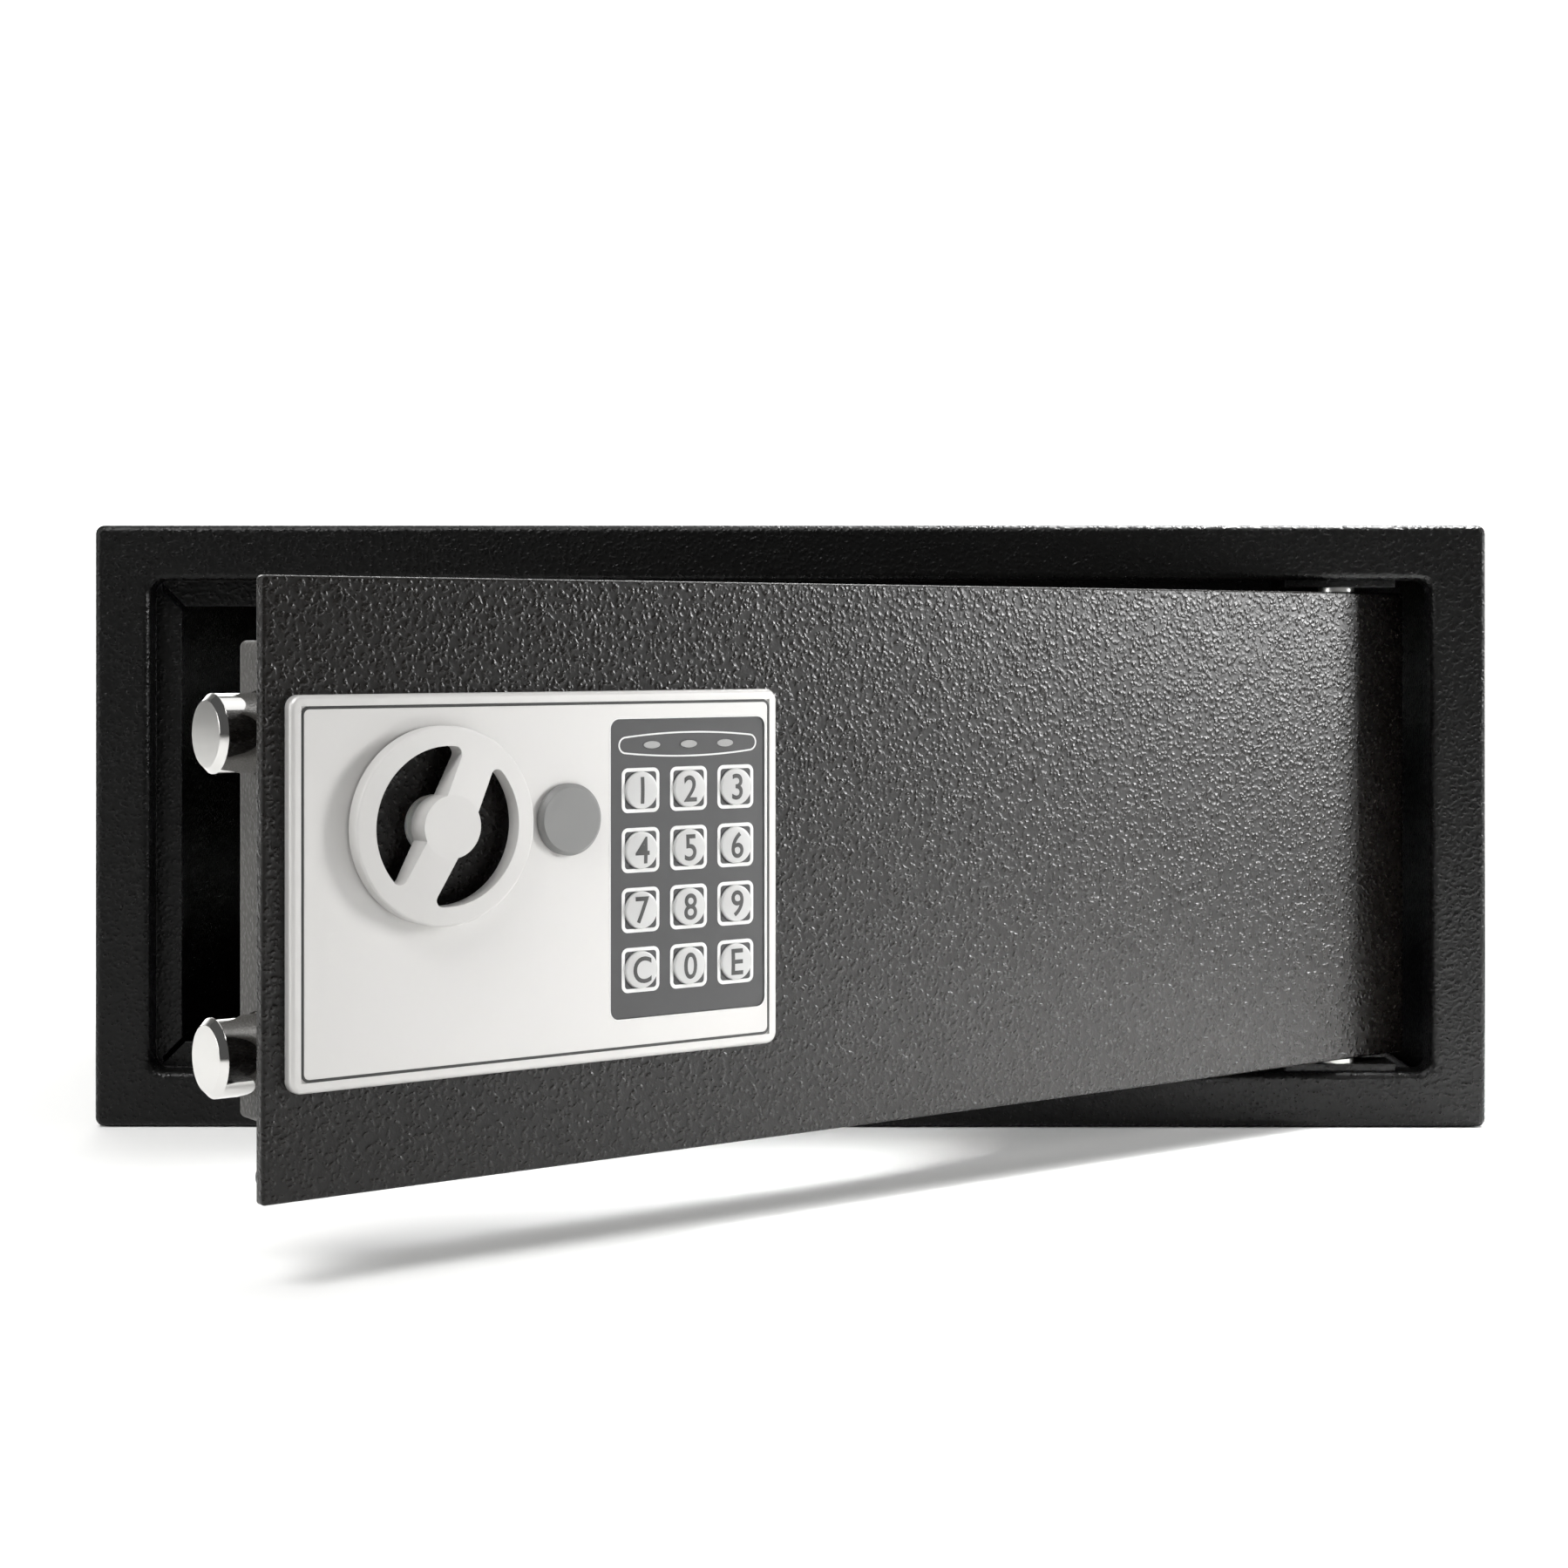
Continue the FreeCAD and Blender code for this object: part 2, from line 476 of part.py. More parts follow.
def make_bolts():
    """Two round bolts on an angled carriage, and the nylon guides that they slide in."""
    for side in ("low", "high"):
        keep(turned("bolt_lower" if side == "low" else "bolt_upper", "X", "bolt_y", "bolt_" + side,
                    [("0", "bolt_tip"), ("bolt_radius - bolt_chamfer", "bolt_tip"),
                     ("bolt_radius", "bolt_tip + bolt_chamfer"), ("bolt_radius", "bolt_end"),
                     ("0", "bolt_end")], door=True))
    guides = []
    for side in ("low", "high"):
        guide = new_body("guide_" + side, door=True)
        z = "bolt_" + side
        extrude(guide, "YZ", "box_left + box_sheet", "box_left + box_sheet + guide_length",
                lambda s: (draw_box(s, "plate_back", f"{z} - bolt_radius - guide_wall",
                                    "box_back - box_sheet", f"{z} + bolt_radius + guide_wall"),
                           draw_circle(s, "bolt_y", z, "bolt_radius + bolt_clearance")))
        guides.append(guide)
    keep(group("bolt_guides", guides))

    carriage = new_body("bolt_carriage", door=True)
    arm_left, arm_foot = "knob_x - bolt_travel / 2 - carriage_arm", "knob_z - carriage_foot"
    tail, arm_right, tail_right = "knob_z - tail_drop", "slide_right - carriage_arm / 2", "lock_x + tail_past"
    extrude(carriage, "XZ", "slide_y", "slide_back",
            lambda s: draw_outline(s, [
                (arm_left, arm_foot), (arm_right, arm_foot), (arm_right, tail), (tail_right, tail),
                (tail_right, f"{tail} + tail_height"), ("slide_right", f"{tail} + tail_height"),
                ("slide_right", "bolt_high"), (arm_left, "bolt_high")]))
    extrude(carriage, "YZ", "slide_right - carriage_sheet", "slide_right",
            lambda s: draw_box(s, "slide_y", "bolt_low - bolt_radius", "bolt_y + bolt_radius",
                               "bolt_high + bolt_radius"))
    half_slot = "(cam_pin + slot_clearance)"
    extrude(carriage, "XZ", "slide_y", "slide_back",
            lambda s: draw_box(s, f"knob_x - bolt_travel / 2 - {half_slot}", "knob_z + pin_up - cam_pin - 1",
                               f"knob_x - bolt_travel / 2 + {half_slot}", "knob_z + cam_reach + cam_pin + 1"),
            cut=True)
    extrude(carriage, "XZ", "slide_y", "slide_back",
            lambda s: draw_box(s, "coil_x - plunger_radius - notch_gap", tail,
                               "coil_x + plunger_radius + notch_gap", f"{tail} + plunger_travel + notch_gap"),
            cut=True)
    keep(carriage)


def make_knob():
    """A ring with a cross bar through its hub. Its front is a shallow cone, its windows round cornered."""
    reach = "(knob_rim + knob_crown)"
    disc = round_bar("KnobDisc", "knob_radius", "knob_back", reach)
    hole = round_bar("KnobHole", "knob_radius - knob_band", "knob_back + 1", f"{reach} + 2")
    ring = join("Part::Cut", "KnobRing", disc, hole)
    hub = round_bar("KnobHub", "knob_hub", "knob_back", reach)
    bar = doc.addObject("Part::Box", "KnobBar")
    length = "(2 * knob_radius - knob_band)"
    bind(bar, Length="knob_bar", Width=reach, Height=length,
         x=f"knob_x - knob_bar / 2 * cos(knob_tilt) - {length} / 2 * sin(knob_tilt)",
         y=f"knob_back - {reach}",
         z=f"knob_z + knob_bar / 2 * sin(knob_tilt) - {length} / 2 * cos(knob_tilt)")
    bar.Placement.Rotation = FreeCAD.Rotation(FreeCAD.Vector(0, 1, 0), amount("knob_tilt"))
    bar.setExpression("Placement.Rotation.Angle", bound("knob_tilt"))
    blank = doc.addObject("Part::MultiFuse", "KnobBlank")
    blank.Shapes = [ring, bar, hub]
    doc.recompute()
    window, centre = amount("knob_radius - knob_band"), FreeCAD.Vector(amount("knob_x"), 0, amount("knob_z"))
    cornered = fillet("KnobCorners", blank, "knob_corner", lambda edge: along("y")(edge)
                      and abs((flat(edge.CenterOfMass) - centre).Length - window) < 0.3)
    crown = doc.addObject("Part::Cone", "KnobCrown")
    crown.Placement.Rotation = FreeCAD.Rotation(FreeCAD.Vector(1, 0, 0), 90)
    slope = "(knob_crown / (knob_radius - knob_hub))"
    bind(crown, Radius1=f"knob_radius + (knob_rim + 1) / {slope}", Radius2="knob_hub", Height=f"{reach} + 1",
         x="knob_x", y="knob_back + 1", z="knob_z")
    crowned = doc.addObject("Part::MultiCommon", "KnobCrowned")
    crowned.Shapes = [cornered, crown]
    doc.recompute()
    width, back = 2 * amount("knob_radius") - 0.1, amount("knob_back") - 1
    knob = fillet("knob", crowned, "knob_edge",
                  lambda edge: edge.BoundBox.ZLength > width and edge.BoundBox.YMax < back)
    swing(knob)
    keep(knob)
    cam_back = "cam_y + cam_thickness"
    keep(rod("knob_spindle", "Y", "knob_x", "knob_z", "spindle_radius", "knob_back", cam_back, door=True))
    bore, wall = "spindle_radius + pin_clearance", "spindle_radius + bush_wall"
    keep(turned("knob_bush", "Y", "knob_x", "knob_z",
                [(bore, "door_recess - bush_flange"), (f"{wall} + bush_lip", "door_recess - bush_flange"),
                 (f"{wall} + bush_lip", "door_recess"), (wall, "door_recess"), (wall, "plate_back"),
                 (bore, "plate_back")], door=True))
    cam = rod("cam_disc", "Y", "knob_x", "knob_z", "cam_reach + cam_pin + cam_edge", "cam_y", cam_back,
              door=True)
    extrude(cam, "XZ", cam_back, "slide_back",
            lambda s: draw_circle(s, "knob_x - bolt_travel / 2", "knob_z + pin_up", "cam_pin"))
    extrude(cam, "XZ", "cam_y", cam_back, lambda s: draw_circle(s, "knob_x", "knob_z", "spindle_radius"),
            cut=True)
    keep(cam)


def fillet(name, base, radius, pick):
    """A Part fillet of the edges that pick chooses."""
    rounded = doc.addObject("Part::Fillet", name)
    rounded.Base = base
    size = amount(radius)
    rounded.Edges = [(n, size, size) for n, edge in enumerate(base.Shape.Edges, 1) if pick(edge)]
    doc.recompute()
    return rounded


def flat(point):
    return FreeCAD.Vector(point.x, 0, point.z)


def bind(piece, x="0", y="0", z="0", **lengths):
    for name, formula in lengths.items():
        piece.setExpression(name, bound(formula))
    for name, formula in zip("xyz", (x, y, z)):
        piece.setExpression("Placement.Base." + name, bound(formula))


def round_bar(name, radius, start, length):
    """A cylinder on the knob's axis that runs forward from start."""
    bar = doc.addObject("Part::Cylinder", name)
    bar.Placement.Rotation = FreeCAD.Rotation(FreeCAD.Vector(1, 0, 0), 90)
    bind(bar, Radius=radius, Height=length, x="knob_x", y=start, z="knob_z")
    return bar


def join(kind, name, base, tool):
    piece = doc.addObject(kind, name)
    piece.Base, piece.Tool = base, tool
    doc.recompute()
    return piece


def well(sketch, inset):
    """An outline that follows the keypad's, set in from it."""
    draw_box(sketch, f"pad_x + {inset}", f"pad_z + {inset}", f"pad_x + pad_width - ({inset})",
             f"pad_z + pad_height - ({inset})")


def make_panel():
    """Silver housing with a rounded rim and a fine groove, and its screws from behind the plate."""
    panel = new_body("panel_housing", door=True)
    right, top = "panel_x + panel_width", "panel_z + panel_height"
    extrude(panel, "XZ", "panel_face", "door_recess", lambda s: draw_box(s, "panel_x", "panel_z", right, top))
    round_edges(panel, "panel_corner", along("y"))
    round_edges(panel, "panel_round", lying_at("Y", "panel_face"))

    def groove(sketch, inset):
        draw_box(sketch, f"panel_x + {inset}", f"panel_z + {inset}", f"{right} - ({inset})",
                 f"{top} - ({inset})")
    extrude(panel, "XZ", "panel_face", "panel_face + groove_depth",
            lambda s: (groove(s, "groove_inset"), groove(s, "groove_inset + groove_width")), cut=True)
    extrude(panel, "XZ", "panel_face", "pad_face + pad_thickness",
            lambda s: draw_box(s, "pad_x", "pad_z", "pad_x + pad_width", "pad_z + pad_height"), cut=True)
    low, high = amount("pad_x") - 0.1, amount("pad_x + pad_width") + 0.1
    shallow = lambda edge: (along("y")(edge) and low < edge.BoundBox.XMin < high
                            and amount("pad_z") - 0.1 < edge.BoundBox.ZMin < amount("pad_z + pad_height") + 0.1
                            and abs(edge.Length - amount("pad_sink + pad_thickness")) < 1e-4)
    round_edges(panel, "pad_corner", shallow)

    def windows(sketch):
        draw_circle(sketch, "knob_x", "knob_z", "knob_radius - knob_cover")
        draw_circle(sketch, "lock_x", "knob_z", "cap_skirt + cap_gap")
        well(sketch, "seat_rim")
    extrude(panel, "XZ", "panel_face", "door_recess", windows, cut=True)
    extrude(panel, "XZ", "door_recess - rim_root", "board_seat",
            lambda s: (well(s, "rim_inset"), well(s, "seat_rim")))
    keep(panel)


def lens_places():
    return [f"pad_x + pad_width / 2 + ({n}) * lens_pitch" for n in (-1, 0, 1)]


KEYS = ("1", "2", "3", "4", "5", "6", "7", "8", "9", "c", "0", "e")


def key_place(n):
    return f"key_x + {n % 3} * key_pitch_x", f"key_z - {n // 3} * key_pitch_z"


def make_keypad():
    overlay = new_body("keypad_overlay", door=True)
    extrude(overlay, "XZ", "pad_face", "pad_rear", lambda s: well(s, "pad_fit"))
    round_edges(overlay, "pad_corner", along("y"))

    def holes(sketch):
        for n in range(len(KEYS)):
            draw_circle(sketch, *key_place(n), "key_radius + key_gap")
        for x in lens_places():
            draw_ellipse(sketch, x, "mid_z + lens_rise", "lens_long", "lens_short")
    extrude(overlay, "XZ", "pad_face", "pad_rear", holes, cut=True)
    keep(overlay)
    lenses = []
    for n, x in enumerate(lens_places(), 1):
        lens = new_body(f"lens_{n}", door=True)
        extrude(lens, "XZ", "pad_face - lens_proud", "door_recess",
                lambda s: draw_ellipse(s, x, "mid_z + lens_rise", "lens_long", "lens_short"))
        lenses.append(lens)
    keep(group("indicator_lenses", lenses))
    front, tail = "pad_face - key_proud", "pad_rear + key_depth"
    for n, name in enumerate(KEYS):
        keep(turned("key_" + name, "Y", *key_place(n),
                    [("0", f"{front} - key_crown"), ("key_radius - key_bevel", f"{front} - key_crown"),
                     ("key_radius", front), ("key_radius", tail), ("0", tail)], door=True))
    board = new_body("keypad_board", door=True)
    extrude(board, "XZ", "board_seat", "board_seat + board_thickness * 0.75",
            lambda s: well(s, "rim_inset + board_fit"))
    keep(board)
    switches = []
    for n, name in enumerate(KEYS):
        x, z = key_place(n)
        switch = new_body(f"switch_{name}", door=True)
        extrude(switch, "XZ", f"{tail} + key_travel + switch_gap", "board_seat",
                lambda s: draw_box(s, f"{x} - switch_width / 2", f"{z} - switch_width / 2",
                                   f"{x} + switch_width / 2", f"{z} + switch_width / 2"))
        switches.append(switch)
    keep(group("keypad_switches", switches))


def make_override():
    """The key lock behind the cap: body, nut and a plug with a lever, and the pull-off cap."""
    front, back = "door_recess - nose_length", "door_recess + lock_length"
    bore, nose = "plug_radius + pin_clearance", "cap_skirt - cap_wall - nose_gap"
    keep(turned("lock_body", "Y", "lock_x", "knob_z",
                [(bore, front), (nose, front), (nose, "door_recess"), ("lock_radius", "door_recess"),
                 ("lock_radius", back), (bore, back)], door=True))
    nut = new_body("lock_nut", door=True)
    extrude(nut, "XZ", "plate_back", "plate_back + nut_depth",
            lambda s: (draw_hexagon(s, "lock_x", "knob_z", "(lock_radius + nut_rim)"),
                       draw_circle(s, "lock_x", "knob_z", "lock_radius")))
    keep(nut)
    lever = f"{back} + cover_gap"
    plug = rod("override_plug", "Y", "lock_x", "knob_z", "plug_radius", front, f"{lever} + lever_sheet",
               door=True)
    extrude(plug, "XZ", lever, f"{lever} + lever_sheet",
            lambda s: draw_box(s, "lock_x - lever_width / 2", "knob_z - lever_length",
                               "lock_x + lever_width / 2", "knob_z"))
    extrude(plug, "XZ", front, f"{front} + key_slot_depth",
            lambda s: draw_box(s, "lock_x - key_slot", "knob_z - key_slot_half", "lock_x + key_slot",
                               "knob_z + key_slot_half"), cut=True)
    keep(plug)
    top, seat, end = "panel_face - cap_height", "panel_face - 0.05", "door_recess - nose_gap"
    keep(turned("lock_cap", "Y", "lock_x", "knob_z",
                [("0", top), ("cap_radius - cap_bevel", top), ("cap_radius", f"{top} + cap_bevel"),
                 ("cap_radius", seat), ("cap_skirt", seat), ("cap_skirt", end), ("cap_skirt - cap_wall", end),
                 ("cap_skirt - cap_wall", f"{front} - nose_gap"), ("0", f"{front} - nose_gap")], door=True))


def tray_outline(sketch, grow):
    """The battery tray's outline, grown by an amount, or drawn in if that is negative."""
    half = "(4 * cell_radius + 1)"
    draw_box(sketch, f"tray_left - ({grow})", f"mid_z - {half} - ({grow})",
             f"tray_left + cell_length + tray_room + ({grow})", f"mid_z + {half} + ({grow})")


def make_solenoid():
    """An open steel frame with a coil, and the plunger that rises into the carriage's notch."""
    low, axis = "box_low + box_sheet + solenoid_rise", "plate_back + solenoid_depth / 2"
    top, back, wall = f"{low} + solenoid_height", "plate_back + solenoid_depth", "solenoid_sheet"
    left, right = "coil_x - solenoid_width / 2", "coil_x + solenoid_width / 2"
    bore = "plunger_radius + pin_clearance"
    frame = new_body("solenoid_frame", door=True)
    extrude(frame, "XZ", "plate_back", back, lambda s: draw_box(s, left, low, right, top))
    extrude(frame, "XZ", "plate_back", back,
            lambda s: draw_box(s, f"{left} + {wall}", f"{low} + {wall}", f"{right} - {wall}", f"{top} - {wall}"),
            cut=True)
    extrude(frame, "XY", f"{top} - {wall}", top, lambda s: draw_circle(s, "coil_x", axis, bore), cut=True)
    keep(frame)
    coil = new_body("solenoid_coil", door=True)
    extrude(coil, "XY", f"{low} + {wall}", f"{top} - {wall}",
            lambda s: (draw_circle(s, "coil_x", axis, "coil_radius"), draw_circle(s, "coil_x", axis, bore)))
    keep(coil)
    tip = "(knob_z - tail_drop - notch_gap)"
    keep(turned("solenoid_plunger", "Z", "coil_x", axis,
                [("0", f"{tip} - plunger_length"), ("plunger_radius", f"{tip} - plunger_length"),
                 ("plunger_radius", f"{tip} - plunger_bevel"), ("plunger_radius - plunger_bevel", tip),
                 ("0", tip)], door=True))


def make_electrics():
    """Control board on posts, reset button, and the batteries in a tray with a ribbed cover."""
    left, bottom = "pad_x + pad_width + board_left", "mid_z - board_width / 2"
    face = "plate_back + board_stand"
    right, top = f"{left} + board_width", f"{bottom} + board_width"
    board = new_body("control_board", door=True)
    extrude(board, "XZ", face, f"{face} + board_thickness", lambda s: draw_box(s, left, bottom, right, top))
    extrude(board, "XZ", f"{face} + board_thickness / 2", f"{face} + board_thickness + 4",
            lambda s: (draw_box(s, f"{left} + 8", f"{top} - 24", f"{left} + 24", f"{top} - 14"),
                       draw_box(s, f"{left} + 8", f"{bottom} + 10", f"{left} + 20", f"{bottom} + 26"),
                       draw_circle(s, f"{right} - 16", f"{bottom} + 18", "6")))
    keep(board)
    corners = [(x, z) for x in (f"{left} + board_corner", f"{right} - board_corner")
               for z in (f"{bottom} + board_corner", f"{top} - board_corner")]
    keep(group("board_posts", [hex_post(f"board_post_{n}", x, z, "board_post", "plate_back", face)
                               for n, (x, z) in enumerate(corners, 1)]))
    inner = "box_back - box_sheet"
    keep(turned("reset_button", "Y", "reset_x", "reset_z",
                [("0", f"{inner} - 1.5"), ("reset_radius + reset_flange", f"{inner} - 1.5"),
                 ("reset_radius + reset_flange", f"{inner} - 0.05"), ("reset_radius", f"{inner} - 0.05"),
                 ("reset_radius", "box_back + reset_proud"), ("0", "box_back + reset_proud")], door=True))

    front = "box_back - 2 * cell_radius - tray_wall - 2"
    tray = new_body("battery_tray", door=True)
    extrude(tray, "XZ", front, "box_back", lambda s: tray_outline(s, "0"))
    extrude(tray, "XZ", "box_back", "box_back + tray_flange", lambda s: tray_outline(s, "tray_lip"))
    extrude(tray, "XZ", f"{front} + tray_wall", "box_back + tray_flange",
            lambda s: tray_outline(s, "-tray_wall / 2"), cut=True)
    keep(tray)
    start = "tray_left + tray_room / 2"
    keep(group("batteries", [
        rod(f"battery_{n}", "X", f"{front} + tray_wall + cell_radius",
            f"mid_z + ({n} - 2.5) * 2 * cell_radius", "cell_radius - cell_gap", start, f"{start} + cell_length",
            door=True) for n in (1, 2, 3, 4)]))
    outside = "box_back + tray_flange + cover_gap"
    cover = new_body("battery_cover", door=True)
    extrude(cover, "XZ", outside, f"{outside} + cover_sheet", lambda s: tray_outline(s, "tray_lip"))
    round_edges(cover, "cover_sheet * 0.4", lying_at("Y", f"{outside} + cover_sheet"))
    for n in range(int(DRIVING["cover_ribs"])):
        low = f"tray_left + 4 + {n} * rib_pitch"
        extrude(cover, "XZ", f"{outside} + cover_sheet / 2", f"{outside} + cover_sheet + 0.6",
                lambda s: draw_box(s, low, "mid_z - 12", f"{low} + rib_pitch / 2", "mid_z + 12"))
    keep(cover)


def check_and_write():
    os.makedirs("parts", exist_ok=True)
    doc.recompute()
    for piece in doc.Objects:
        if "Invalid" in piece.State or "Error" in piece.State:
            raise RuntimeError(f"{piece.Label} failed: {piece.State}")
    for piece in finished:
        if piece.Shape.isNull() or not piece.Shape.isValid() or not piece.Shape.Solids:
            raise RuntimeError(f"{piece.Label} has no sound solid")
        if piece.TypeId == "PartDesign::Body" and len(piece.Shape.Solids) != 1:
            raise RuntimeError(f"{piece.Label} has {len(piece.Shape.Solids)} solids")
        piece.Shape.exportStep(f"parts/{piece.Label}.step")
    print(f"{len(finished)} pieces written")


fill_sheet()
make_front_frame()
make_shell()
make_hinges()
make_door_plate()
make_lock_box()
make_bolts()
make_knob()
make_panel()
make_keypad()
make_override()
make_solenoid()
make_electrics()
check_and_write()
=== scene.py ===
import json
import math
import bpy
import bmesh
import numpy as np
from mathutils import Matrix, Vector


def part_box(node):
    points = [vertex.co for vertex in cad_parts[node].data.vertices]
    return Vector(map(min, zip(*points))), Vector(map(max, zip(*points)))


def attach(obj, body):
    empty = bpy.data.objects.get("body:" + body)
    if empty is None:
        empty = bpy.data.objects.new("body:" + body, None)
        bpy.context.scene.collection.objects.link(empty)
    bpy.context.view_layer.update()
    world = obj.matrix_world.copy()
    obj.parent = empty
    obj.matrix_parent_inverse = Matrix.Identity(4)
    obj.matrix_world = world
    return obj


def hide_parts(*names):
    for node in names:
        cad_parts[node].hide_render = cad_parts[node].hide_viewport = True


# In-room safe: powder coated steel, a silver lock panel, chrome bolts. Metres throughout.

print("loading the frame")
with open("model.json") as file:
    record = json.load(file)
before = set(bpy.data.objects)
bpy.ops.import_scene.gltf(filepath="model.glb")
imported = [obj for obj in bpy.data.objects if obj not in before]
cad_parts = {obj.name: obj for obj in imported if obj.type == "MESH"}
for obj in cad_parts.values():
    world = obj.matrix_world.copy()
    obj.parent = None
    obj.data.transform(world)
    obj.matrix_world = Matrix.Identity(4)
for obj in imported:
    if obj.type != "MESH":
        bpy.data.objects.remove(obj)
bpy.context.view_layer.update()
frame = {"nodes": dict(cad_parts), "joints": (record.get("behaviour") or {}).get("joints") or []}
nodes = frame["nodes"]
mm = 0.001

# places on the door
# The door's pieces are worked out with the door shut, then turned to where it stands open at rest.

hinge = next(j for j in frame["joints"] if j["name"] == "door_hinge")
pivot = np.array(hinge["pos_m"])
openAngle = math.radians(-hinge["range_deg"][0])


def turnAbout(points, angle):
    # x and y of the points turned by the angle about the hinge's upright line
    points = np.asarray(points, float)
    c, s = math.cos(angle), math.sin(angle)
    flat = points[..., :2] - pivot[:2]
    turned = np.stack([flat[..., 0] * c - flat[..., 1] * s, flat[..., 0] * s + flat[..., 1] * c], -1)
    return np.concatenate([turned + pivot[:2], points[..., 2:]], -1)


def openDoor(points):
    return turnAbout(points, openAngle)


def meshPoints(node):
    mesh = nodes[node].data
    co = np.zeros(len(mesh.vertices) * 3, np.float32)
    mesh.vertices.foreach_get("co", co)
    return co.reshape(-1, 3)


def shutBox(node):
    # a door node's lowest and highest corners with the door shut
    points = turnAbout(meshPoints(node), -openAngle)
    return points.min(0), points.max(0)


def keyNodes():
    return [n for n in nodes if n.startswith("key_")]


# mesh helpers


def makePiece(name, points, faces, body, material, smooth=True):
    mesh = bpy.data.meshes.new(name)
    mesh.from_pydata([tuple(p) for p in points], [], [tuple(f) for f in faces])
    mesh.update()
    if smooth:
        mesh.polygons.foreach_set("use_smooth", np.ones(len(mesh.polygons), bool))
    piece = bpy.data.objects.new(name, mesh)
    bpy.context.scene.collection.objects.link(piece)
    mesh.materials.append(material)
    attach(piece, body)
    return piece


def gridFaces(rows, cols, wrapRows=False, wrapCols=False):
    # quads of a grid of points stored row by row
    r = np.arange(rows if wrapRows else rows - 1)
    c = np.arange(cols if wrapCols else cols - 1)
    r, c = np.meshgrid(r, c, indexing="ij")
    r1, c1 = (r + 1) % rows, (c + 1) % cols
    return np.stack([r * cols + c, r * cols + c1, r1 * cols + c1, r1 * cols + c], -1).reshape(-1, 4)


def roundedOutline(halfX, halfZ, corner, steps):
    # a rectangle with quarter-circle corners, anticlockwise from the right:
    # corner centre + r * (cos t, sin t)
    t = np.linspace(0, math.pi / 2, steps)
    quarter = []
    for n, (sx, sz) in enumerate(((1, 1), (-1, 1), (-1, -1), (1, -1))):
        turn = t + n * math.pi / 2
        centre = np.array([sx * (halfX - corner), sz * (halfZ - corner)])
        quarter.append(centre + corner * np.stack([np.cos(turn), np.sin(turn)], -1))
    return np.concatenate(quarter)


def printedBand(outer, inner, thickness):
    # a flat raised line between two outlines with the same number of points, closed all round:
    # outer foot, outer top, inner top, inner foot; x and z from the outline, y forward by the thickness
    rings = []
    for outline, lift in ((outer, 0), (outer, thickness), (inner, thickness), (inner, 0)):
        rings.append(np.stack([outline[:, 0], np.full(len(outline), -lift), outline[:, 1]], -1))
    points = np.concatenate(rings)
    return points, gridFaces(4, len(outer), True, True)[:, ::-1]


def joined(parts):
    # several (points, faces) sets as one
    points, faces, count = [], [], 0
    for p, f in parts:
        points.append(p)
        faces.extend((np.asarray(f) + count).tolist())
        count += len(p)
    return np.concatenate(points), faces


# shader helpers


class Tree:
    # short ways to add nodes and links to one node tree
    def __init__(self, tree):
        self.tree = tree

    def add(self, kind, **values):
        node = self.tree.nodes.new(kind)
        for key, value in values.items():
            setattr(node, key, value)
        return node

    def link(self, a, b):
        self.tree.links.new(a, b)
        return b

    def math(self, operation, a, b):
        node = self.add("ShaderNodeMath", operation=operation)
        for n, value in enumerate((a, b)):
            if isinstance(value, (int, float)):
                node.inputs[n].default_value = value
            else:
                self.link(value, node.inputs[n])
        return node.outputs[0]

    def span(self, value, low, high, toLow=0.0, toHigh=1.0):
        node = self.add("ShaderNodeMapRange")
        self.link(value, node.inputs[0])
        for n, number in enumerate((low, high, toLow, toHigh), 1):
            node.inputs[n].default_value = number
        return node.outputs[0]

    def mixColour(self, share, a, b):
        node = self.add("ShaderNodeMix", data_type="RGBA")
        for socket, value in ((node.inputs[0], share), (node.inputs[6], a), (node.inputs[7], b)):
            if isinstance(value, (int, float)):
                socket.default_value = value
            elif isinstance(value, (tuple, list)):
                socket.default_value = (*value, 1.0)
            else:
                self.link(value, socket)
        return node.outputs[2]

    def noise(self, vector, scale, detail=2.0, roughness=0.5, distortion=0.0):
        node = self.add("ShaderNodeTexNoise")
        node.inputs["Scale"].default_value = scale
        node.inputs["Detail"].default_value = detail
        node.inputs["Roughness"].default_value = roughness
        node.inputs["Distortion"].default_value = distortion
        self.link(vector, node.inputs["Vector"])
        return node.outputs[0]


def makeGroup(name, inputs, outputs, build):
    # a shader node group, built once, with float inputs (name: default) and outputs (name: kind)
    tree = bpy.data.node_groups.new(name, "ShaderNodeTree")
    for key, value in inputs.items():
        socket = tree.interface.new_socket(name=key, in_out="INPUT", socket_type="NodeSocketFloat")
        socket.default_value = value
    for key, kind in outputs.items():
        tree.interface.new_socket(name=key, in_out="OUTPUT", socket_type="NodeSocket" + kind)
    t = Tree(tree)
    build(t, t.add("NodeGroupInput").outputs, t.add("NodeGroupOutput").inputs)
    return tree


